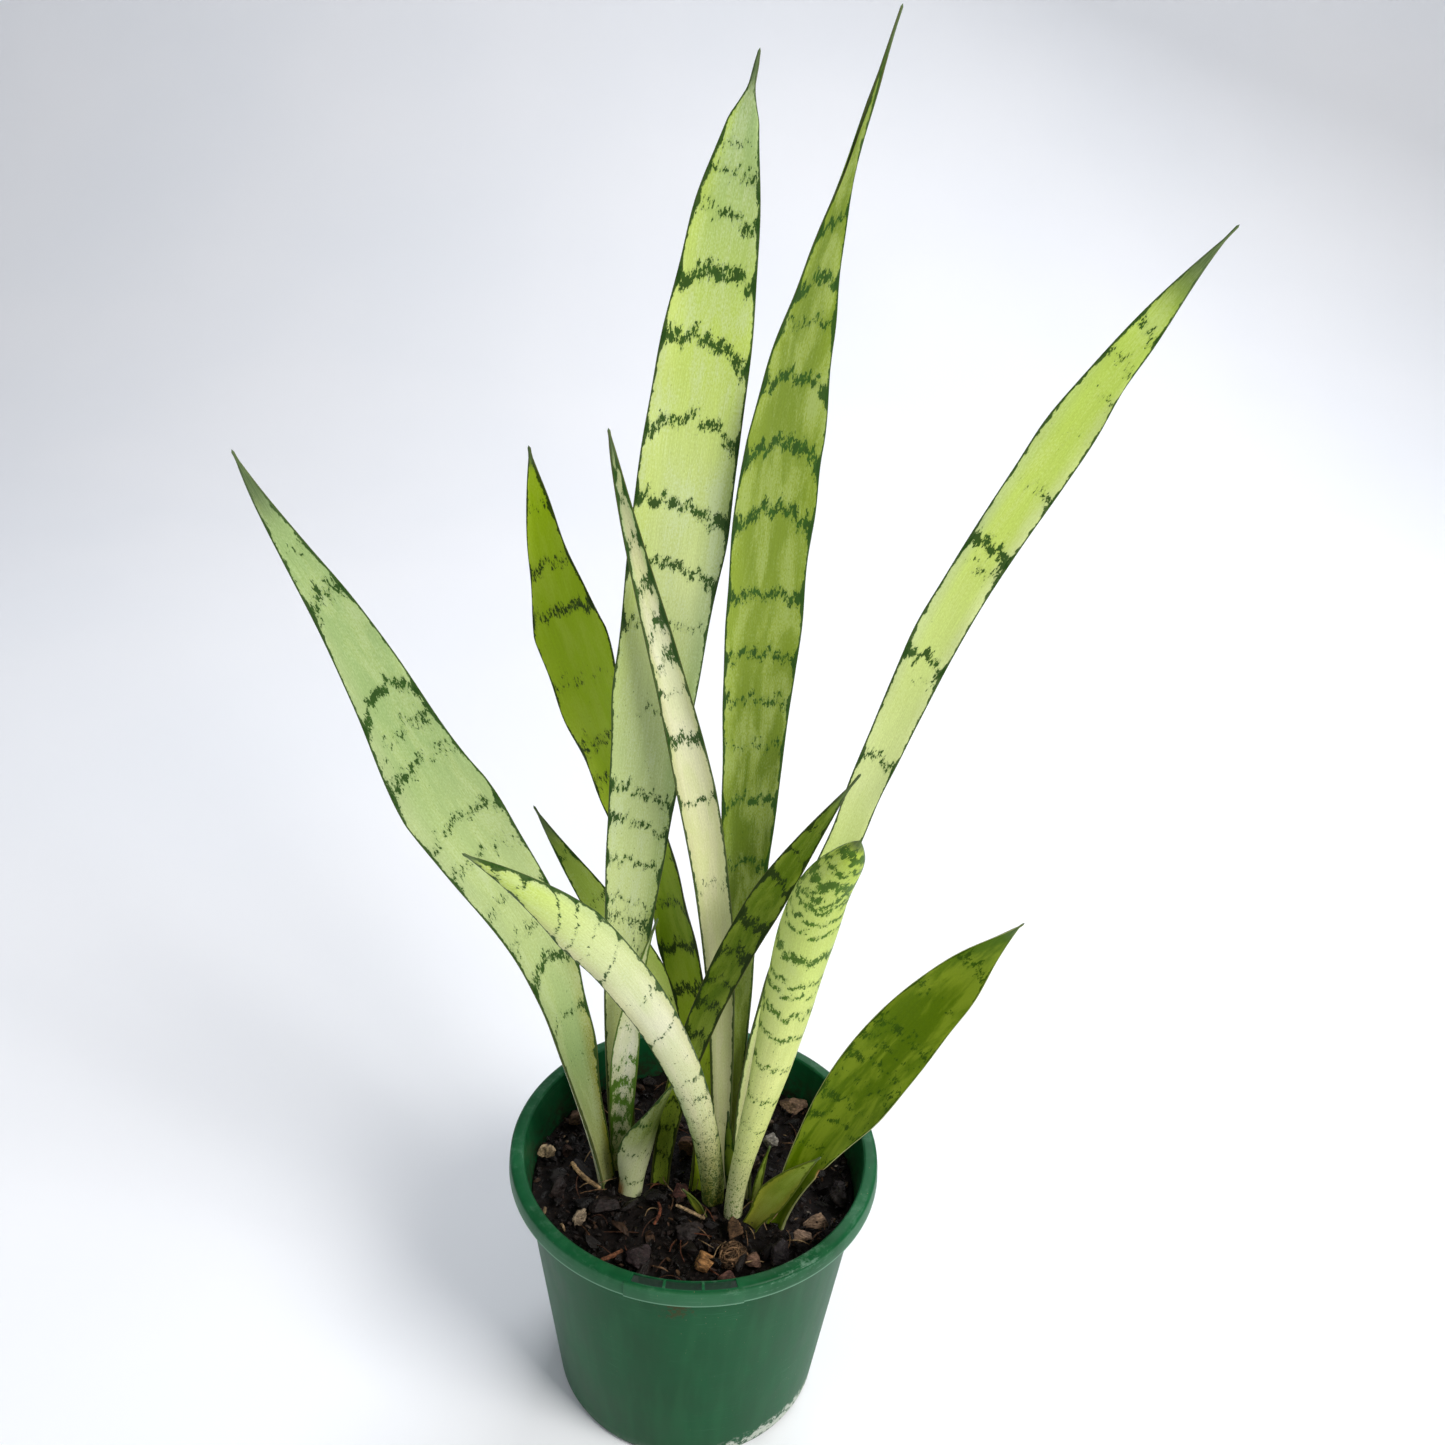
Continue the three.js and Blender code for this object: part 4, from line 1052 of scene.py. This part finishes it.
def make_bits():
    """Loose bits of bark and crumbs lying on the bed, clear of the leaves, and the hairs on them."""
    draw = np.random.default_rng(29)
    ball, triangles = ico(2)
    near = KDTree(len(leaf_points))
    for i, p in enumerate(leaf_points):
        near.insert(p, i)
    near.balance()
    kinds = [chop(ball, draw, 8, (0.22, 0.72)) for _ in range(BIT_KINDS)]
    shapes, tints, grains = [], [], []
    sizes = [size for low, high, count in BIT_SIZES for size in draw.uniform(low, high, count)]
    dark = ["0f0b0a", "15100e", "1c1512", "0c0908", "221915", "120e0d"]
    brown = ["3a291d", "2c1f18", "463222", "33241e"]
    pale = ["7c6449", "937a5b", "67533e", "5a4c40", "80766a"]
    edge = mix_radius(SOIL_LEVEL)
    placed = []
    for size in sizes:
        for _ in range(8):
            away = (edge - size * 0.42) * math.sqrt(draw.uniform())
            angle = draw.uniform(0, 2 * math.pi)
            x, y = away * math.cos(angle), away * math.sin(angle)
            z = SOIL_LEVEL - 0.4 + float(unevenness(x, y)) + draw.uniform(-0.1, 0.3) * size
            _, _, gap = near.find(Vector((x, y, z)))
            crowded = size > BIG_BIT and any(
                (x - a) ** 2 + (y - b) ** 2 < (0.42 * (size + c)) ** 2 for a, b, c in placed
            )
            if gap > size * 0.5 + 0.2 and not crowded:
                break
        else:
            continue
        if size > BIG_BIT:
            placed.append((x, y, size))
        kind = kinds[draw.integers(len(kinds))]
        stretch = np.array([1.0, draw.uniform(0.32, 0.75), draw.uniform(0.26, 0.6)]) * size / 2
        shape = kind * stretch
        lean = Matrix.Rotation(draw.normal(0, 0.7), 3, "X") @ Matrix.Rotation(draw.normal(0, 0.55), 3, "Y")
        spin = Matrix.Rotation(draw.uniform(0, 6.28), 3, "Z")
        shapes.append(shape @ np.array(spin @ lean).T + (x, y, z))
        pick = draw.uniform()
        family = dark if pick < 0.86 else brown if pick < 0.965 else pale
        colour = linear(family[draw.integers(len(family))]) * draw.uniform(0.75, 1.25)
        tints.append(np.repeat(colour[None], len(ball), 0))
        grains.append(shape + draw.uniform(-50, 50, 3))
    count = len(shapes)
    faces = (triangles[None] + np.arange(count)[:, None, None] * len(ball)).reshape(-1, 3).tolist()
    fibre_points, fibre_faces, fibre_tint, fibre_grain = make_fibres(draw, count * len(ball))
    points = np.vstack([*shapes, fibre_points])
    bits = make_mesh("potting_mix_bits", points, faces + fibre_faces, smooth=False)
    give(bits, "bark_tint", np.vstack([*tints, fibre_tint]))
    give(bits, "bark_at", np.vstack([*grains, fibre_grain]))
    return bits


def strand(path, thick, sides=6, taper=0.6):
    """Points and faces of a thin strand along a path of points."""
    path = np.asarray(path, float)
    ways = unit(np.gradient(path, axis=0))
    upright = np.array([0.13, 0.21, 0.97])
    side = unit(np.cross(ways, upright))
    other = np.cross(ways, side)
    angle = np.arange(sides) * 2 * np.pi / sides
    size = thick / 2 * (taper + (1 - taper) * np.sin(np.linspace(0.15, math.pi - 0.15, len(path))))
    offset = side[:, None] * np.cos(angle)[None, :, None] + other[:, None] * np.sin(angle)[None, :, None]
    points = path[:, None] + offset * np.asarray(size)[:, None, None]
    ends = [path[0] - ways[0] * thick * 0.2, path[-1] + ways[-1] * thick * 0.2]
    return np.vstack([points.reshape(-1, 3), ends]), tube_faces(len(path), sides)


def make_fibres(draw, first):
    """Fine roots and coir hairs lying on the mix."""
    points, faces, tints, grains = [], [], [], []
    colours = ["4e3624", "6b5038", "42291c", "7d6648", "55301f"]
    for _ in range(HAIR_TRIES):
        away = 57 * math.sqrt(draw.uniform())
        angle = draw.uniform(0, 6.28)
        x, y = away * math.cos(angle), away * math.sin(angle)
        heading, length = draw.uniform(0, 6.28), draw.uniform(5, 15)
        turn = draw.normal(0, 0.09)
        path = []
        for k in range(12):
            heading += turn + draw.normal(0, 0.08)
            x += math.cos(heading) * length / 12
            y += math.sin(heading) * length / 12
            hump = 1.5 + 1.2 * math.sin(math.pi * k / 11)
            path.append((x, y, SOIL_LEVEL + float(unevenness(x, y)) + hump))
        if max(math.hypot(p[0], p[1]) for p in path) > 61:
            continue
        strand_points, strand_faces = strand(path, draw.uniform(0.3, 0.6), 5)
        start = first + sum(len(p) for p in points)
        faces += [tuple(i + start for i in face) for face in strand_faces]
        points.append(strand_points)
        colour = linear(colours[draw.integers(len(colours))])
        tints.append(np.repeat(colour[None], len(strand_points), 0))
        grains.append(strand_points)
    return np.vstack(points), faces, np.vstack(tints), np.vstack(grains)


def mix_material():
    g = Graph("crumbly_potting_mix")
    at = g.place()
    crumbs = g.noise(at, scale=620, detail=5, roughness=0.75)
    lumps = g.noise(at, scale=150, detail=3, roughness=0.6)
    glints = g.cells(at, scale=760)
    colour = g.mix(g.span(crumbs, 0.32, 0.68), rgba("070505"), rgba("1a1310"))
    colour = g.mix(g.multiply(g.span(lumps, 0.55, 0.75), 0.5), colour, rgba("2c1e16"))
    colour = g.mix(g.multiply(g.span(glints, 0.1, 0.06), 0.5), colour, rgba("8a745c"))
    g.set("Base Color", colour)
    g.set("Roughness", g.span(lumps, 0.35, 0.65, 0.4, 0.8))
    g.set("Specular IOR Level", 0.15)
    g.bump(crumbs, 1.0, 1.0)
    return g.material


def bark_material(name, wet=0.0):
    """Split bark or wood, with its grain along the first direction of bark_at."""
    g = Graph(name)
    at = g.attribute("bark_at")
    tint = g.attribute("bark_tint")
    grain = g.noise(g.times(at, (0.16, 1.6, 1.6)), detail=3, roughness=0.65, distortion=0.3)
    pores = g.noise(at, scale=2.6, detail=3, roughness=0.7)
    blotch = g.noise(at, scale=0.33, detail=3, roughness=0.6)
    colour = g.shade(tint, g.span(grain, 0.28, 0.72, 0.55, 1.5))
    colour = g.shade(colour, g.span(blotch, 0.35, 0.65, 0.5, 1.35))
    pits = g.span(pores, 0.42, 0.3)
    colour = g.mix(g.multiply(pits, 0.6), colour, rgba("140e0b"))
    worn = g.multiply(g.span(pores, 0.6, 0.75), 0.3 - 0.15 * wet)
    colour = g.mix(worn, colour, rgba("b8a488") if not wet else rgba("5d5048"))
    g.set("Base Color", colour)
    g.set("Roughness", g.span(blotch, 0.35, 0.65, 0.8 - 0.62 * wet, 0.95 - 0.55 * wet))
    g.set("Specular IOR Level", 0.2)
    relief = g.add(g.multiply(grain, 0.7), g.multiply(pores, 0.4))
    g.bump(relief, 0.7, 0.9)
    return g.material


settle(make_bed(), "potting_mix", mix_material(), "potting_mix")
settle(make_bits(), "potting_mix", bark_material("loose_bits", wet=0.9))

# ---------------------------------------------------------------- chips and litter

PALE, BROWN, WET = "pale_wood_chip", "brown_bark_chip", "dark_wet_bark"
CHIP_TILT = 12
TILTS = {"crown_stub": -20}

# Name: (beside, place, size, turn, colour, slot)
CHIPS = {
    "chip_tan_left": (None, (-58.5, 8), (9, 6, 6), 70, "a08a6c", PALE),
    "chip_brown_centre": (SHOOT_RIGHT, (-16.5, 23), (7, 7, 12), 0, "5a4030", BROWN),
    "chip_tan_right_back": (None, (48, -21), (9, 6, 6), 20, "8a715c", PALE),
    "chip_tan_right_front": (SHOOT_RIGHT, (28, -19.5), (8, 7, 5), -30, "7d6654", PALE),
    "chip_grey_back": (None, (31, 21), (6, 5, 6), 35, "8d8780", PALE),
    "chip_back_right": (None, (41, 41), (12, 7, 5), -15, "7d6552", PALE),
    "chip_back_far": (None, (31, 50), (9, 6, 5), 30, "5b4a3e", BROWN),
    "chip_wedge_front": (None, (6, -45), (9, 7, 6), -25, "9a6f45", PALE),
    "chip_brown_front": (None, (14, -50), (7, 5, 5), 10, "5d4038", BROWN),
    "chip_round_front": (None, (24, -40), (6.5, 6, 5), 0, "75594a", PALE),
    "chip_pale_left_front": (None, (-42, -23), (7, 4, 4), 65, "8c7b66", PALE),
    "chip_left_back": (None, (-50, 30), (8, 6, 5), 40, "5a4537", BROWN),
    "chip_red_centre": (SHOOT_RIGHT, (-18, 2), (6, 6, 4), 0, "4d2f28", BROWN),
    "bark_left_mid": (None, (-33, -19), (10, 8, 7), 25, "241c1b", WET),
    "bark_front_left": (FRONT_LEFT_BARK, (0, 0), (13, 9, 8), -20, "2a2021", WET),
    "bark_left_edge": (None, (-52, -10), (9, 7, 6), 80, "231b19", WET),
    "bark_front_mid": (None, (0, -29), (9, 8, 6), 15, "27201f", WET),
    "bark_front_right": (None, (34, -39), (7, 10, 7), -15, "2c2628", WET),
    "bark_right_edge": (None, (57, -5), (7, 11, 6), 10, "2a2322", WET),
    "bark_right_back": (None, (46, 8), (10, 8, 6), 40, "292120", WET),
    "bark_back_left": (None, (-34, 40), (11, 8, 6), -35, "251e1c", WET),
    "bark_back_mid": (None, (3, 49), (12, 8, 6), 15, "28201e", WET),
    "crown_stub": (None, (16, -27.5), (6, 9, 8), 0, "5b4430", "old_crown"),
    "root_clump": (None, (16, -40), (9, 10, 7), 10, "5a4430", "root_fibre"),
}


def on_mix(beside, place):
    if beside is None:
        return place
    return beside[0] + place[0], beside[1] + place[1]


def chip_mesh(name, seed, beside, place, size, turn, tilt):
    """A split piece of bark: a ball pulled out of shape, chopped flat and split along its grain."""
    draw = np.random.default_rng(100 + seed)
    ball, triangles = ico(5 if max(size) > 6 else 4)
    pull = 1 + 0.1 * np.sin(5.1 * ball[:, 0] + 3.7 * ball[:, 1] + 4.3 * ball[:, 2] + seed)
    shape = chop(ball * pull[:, None], draw, 12, (0.42, 0.84))
    local = shape * np.array(size) * 0.6
    lamina = rough(local * np.array([0.25, 1, 1.6]), 1.3, seed)
    crag = rough(local, 2.4, seed + 7)
    away = unit(local)
    local = local + away * (0.45 * lamina + 0.3 * crag)[:, None]
    x, y = on_mix(beside, place)
    lift = SOIL_LEVEL + float(unevenness(x, y)) + size[2] * 0.3
    turned = Matrix.Rotation(math.radians(turn), 3, "Z") @ Matrix.Rotation(math.radians(tilt), 3, "X")
    points = local @ np.array(turned).T + (x, y, lift)
    piece = make_mesh(name + "_split", points, triangles.tolist())
    return piece, local, points


def fibre_clump(points, seed):
    """Roots wound over a clump, as points and faces."""
    draw = np.random.default_rng(seed)
    centre = points.mean(0)
    reach = (points.max(0) - points.min(0)) / 2
    all_points, all_faces = [], []
    for _ in range(CLUMP_ROOTS):
        axis = unit(draw.normal(size=3))
        start = unit(np.cross(axis, draw.normal(size=3)))
        other = np.cross(axis, start)
        sweep = np.linspace(0, draw.uniform(1.4, 3.4), ROOT_STEPS)
        wobble = 0.95 + 0.16 * np.sin(sweep * draw.uniform(2, 5) + draw.uniform(0, 6))
        ring = start * np.cos(sweep)[:, None] + other * np.sin(sweep)[:, None] + axis * draw.normal(0, 0.3)
        path = centre + ring * wobble[:, None] * reach * 0.98
        strand_points, strand_faces = strand(path, draw.uniform(0.3, 0.75), ROOT_SIDES, 0.5)
        base = sum(len(p) for p in all_points)
        all_faces += [tuple(i + base for i in face) for face in strand_faces]
        all_points.append(strand_points)
    return np.vstack(all_points), all_faces


barks = {
    PALE: bark_material("dry_wood"),
    BROWN: bark_material("brown_bark", wet=0.2),
    WET: bark_material("wet_bark", wet=0.8),
    "old_crown": bark_material("old_crown_fibre"),
    "root_fibre": bark_material("matted_roots"),
    "dry_litter": bark_material("dry_stalks"),
}

for seed, (name, chip) in enumerate(CHIPS.items()):
    beside, place, size, turn, code, slot = chip
    tilt = TILTS.get(name, CHIP_TILT)
    piece, local, points = chip_mesh(name, seed, beside, place, size, turn, tilt)
    tint = linear(code) * (0.9 if slot != WET else 1.0)
    if name == "root_clump":
        wound, wound_faces = fibre_clump(points, seed)
        base = len(points)
        faces = [tuple(p.vertices) for p in piece.data.polygons]
        faces += [tuple(i + base for i in face) for face in wound_faces]
        bpy.data.objects.remove(piece)
        piece = make_mesh(name + "_split", np.vstack([points, wound]), faces)
        local = np.vstack([local, wound - wound.mean(0)])
        shades = np.repeat(tint[None] * 0.45, base, 0)
        vary = 1.0 + 0.5 * np.sin(np.arange(len(wound)) // (ROOT_STEPS * ROOT_SIDES + 2) * 2.4)
        tints = np.vstack([shades, tint[None] * vary[:, None] * 1.25])
    else:
        tints = np.repeat(tint[None], len(local), 0)
    give(piece, "bark_at", local + seed * 20)
    give(piece, "bark_tint", tints)
    settle(piece, slot, barks[slot], name)

# Name: (beside, thickness, colour, path of (right, back, lift))
LITTER = {
    "twig_left": (SHOOT_LEFT, 1.8, "a1855f", ((-21, 3, 1.4), (-17, -2, 0.6), (-9, -9, -0.2))),
    "twig_front_left": (FRONT_LEFT_BARK, 1.6, "6e4630", ((-12, -2, 1.2), (-8, 1.5, 0.2), (-5, 5, -0.4))),
    "straw_centre": (SHOOT_RIGHT, 1.3, "9a8262", ((-19, -6.5, 0.9), (-14, -9, 0.6), (-8, -11.5, -0.2))),
    "root_fibre_red": (None, 1.2, "5f3524", ((-14, -25, -0.2), (-12, -20, 0.8), (-13, -15.5, 1.2))),
}

for seed, (name, (beside, thick, code, knots)) in enumerate(LITTER.items()):
    places = []
    for right, back, lift in knots:
        x, y = on_mix(beside, (right, back))
        places.append((x, y, SOIL_LEVEL + float(unevenness(x, y)) + thick / 2 + lift))
    t = np.linspace(0, 1, 60)
    path = np.stack([along([p[k] for p in places], t) for k in range(3)], -1)
    path[:, 0] += 0.12 * waves_of(seed, t, 0.31, 0.17)
    path[:, 2] += 0.10 * waves_of(seed + 5, t, 0.27, 0.13)
    points, faces = strand(path, thick * 1.05, 20, 0.8)
    knobs = 1 + 0.12 * rough(points, 1.5, seed)
    spine_points = np.vstack([np.repeat(path, 20, 0), path[:1], path[-1:]])
    points = spine_points + (points - spine_points) * knobs[:, None]
    piece = make_mesh(name + "_strand", points, faces)
    lengthwise = np.concatenate([np.repeat(t, 20), [0, 1]]) * 25
    around = points - spine_points
    give(piece, "bark_at", np.column_stack([lengthwise, around[:, 1] * 2, around[:, 2] * 2]) + seed * 30)
    give(piece, "bark_tint", np.repeat(linear(code)[None], len(points), 0))
    settle(piece, "dry_litter", barks["dry_litter"], name)

# ---------------------------------------------------------------- floor, light and camera

# Name: (place, target and size in metres, power in watts, colour)
LIGHTS = {
    "key": ((0.9, -0.75, 1.35), (0, 0, 0.2), (0.7, 0.7), 26, (1.0, 0.98, 0.94)),
    "window": ((0.5, 1.1, 1.2), (0, 0, 0.3), (1.0, 0.8), 12, (0.97, 0.98, 1.0)),
    "fill": ((-1.2, -0.7, 0.7), (0, 0, 0.25), (1.0, 1.0), 3.5, (0.95, 0.98, 1.0)),
}
SKY_STRENGTH = 0.3
CAMERA_PLACE = (3, -421, 520)
CAMERA_PITCH, CAMERA_YAW, CAMERA_ROLL = 27.7, 0.1, 2.5

def make_stage():
    """A pale floor that curves up into a backdrop."""
    profile = [(-2600, 0), (900, 0)]
    profile += [(900 + 900 * math.sin(a), 900 - 900 * math.cos(a)) for a in np.linspace(0.1, math.pi / 2, 14)]
    profile += [(1800, 3600)]
    points = [(x, y, z) for y, z in profile for x in (-3600, 3600)]
    faces = [(2 * k, 2 * k + 1, 2 * k + 3, 2 * k + 2) for k in range(len(profile) - 1)]
    stage = make_mesh("pale_stage", points, faces)
    g = Graph("pale_paper")
    weave = g.noise(g.place(), scale=3.0, detail=2)
    g.set("Base Color", g.mix(g.span(weave, 0.3, 0.7), rgba("f1f3f8"), rgba("f5f6fa")))
    g.set("Roughness", 0.9)
    g.set("Specular IOR Level", 0.1)
    stage.data.materials.append(g.material)


def soft_light(name, place, target, size, power, colour):
    lamp = bpy.data.lights.new(name, "AREA")
    lamp.shape = "RECTANGLE"
    lamp.size, lamp.size_y = size
    lamp.energy = power
    lamp.color = colour
    light = bpy.data.objects.new(name, lamp)
    light.location = Vector(place)
    light.rotation_euler = (Vector(target) - Vector(place)).to_track_quat("-Z", "Y").to_euler()
    bpy.context.scene.collection.objects.link(light)


def make_camera():
    pitch, yaw, roll = (math.radians(a) for a in (CAMERA_PITCH, CAMERA_YAW, CAMERA_ROLL))
    forward = Vector((math.sin(yaw) * math.cos(pitch), math.cos(yaw) * math.cos(pitch), -math.sin(pitch)))
    right = forward.cross(Vector((0, 0, 1))).normalized()
    up = right.cross(forward)
    turned_right = right * math.cos(roll) + up * math.sin(roll)
    turned_up = up * math.cos(roll) - right * math.sin(roll)
    lens = bpy.data.cameras.new("camera")
    lens.lens = 36
    lens.sensor_width = 36
    lens.clip_end = 50
    camera = bpy.data.objects.new("camera", lens)
    facing = Matrix((turned_right, turned_up, -forward)).transposed().to_4x4()
    camera.matrix_world = Matrix.Translation(Vector(CAMERA_PLACE) * MM) @ facing
    bpy.context.scene.collection.objects.link(camera)
    bpy.context.scene.camera = camera


make_stage()
world = bpy.data.worlds.new("soft_daylight")
world.use_nodes = True
sky = world.node_tree.nodes["Background"]
sky.inputs["Color"].default_value = (0.90, 0.94, 1.0, 1)
sky.inputs["Strength"].default_value = SKY_STRENGTH
bpy.context.scene.world = world
for name, light in LIGHTS.items():
    soft_light(name, *light)
make_camera()
bpy.context.scene.view_settings.view_transform = "Standard"
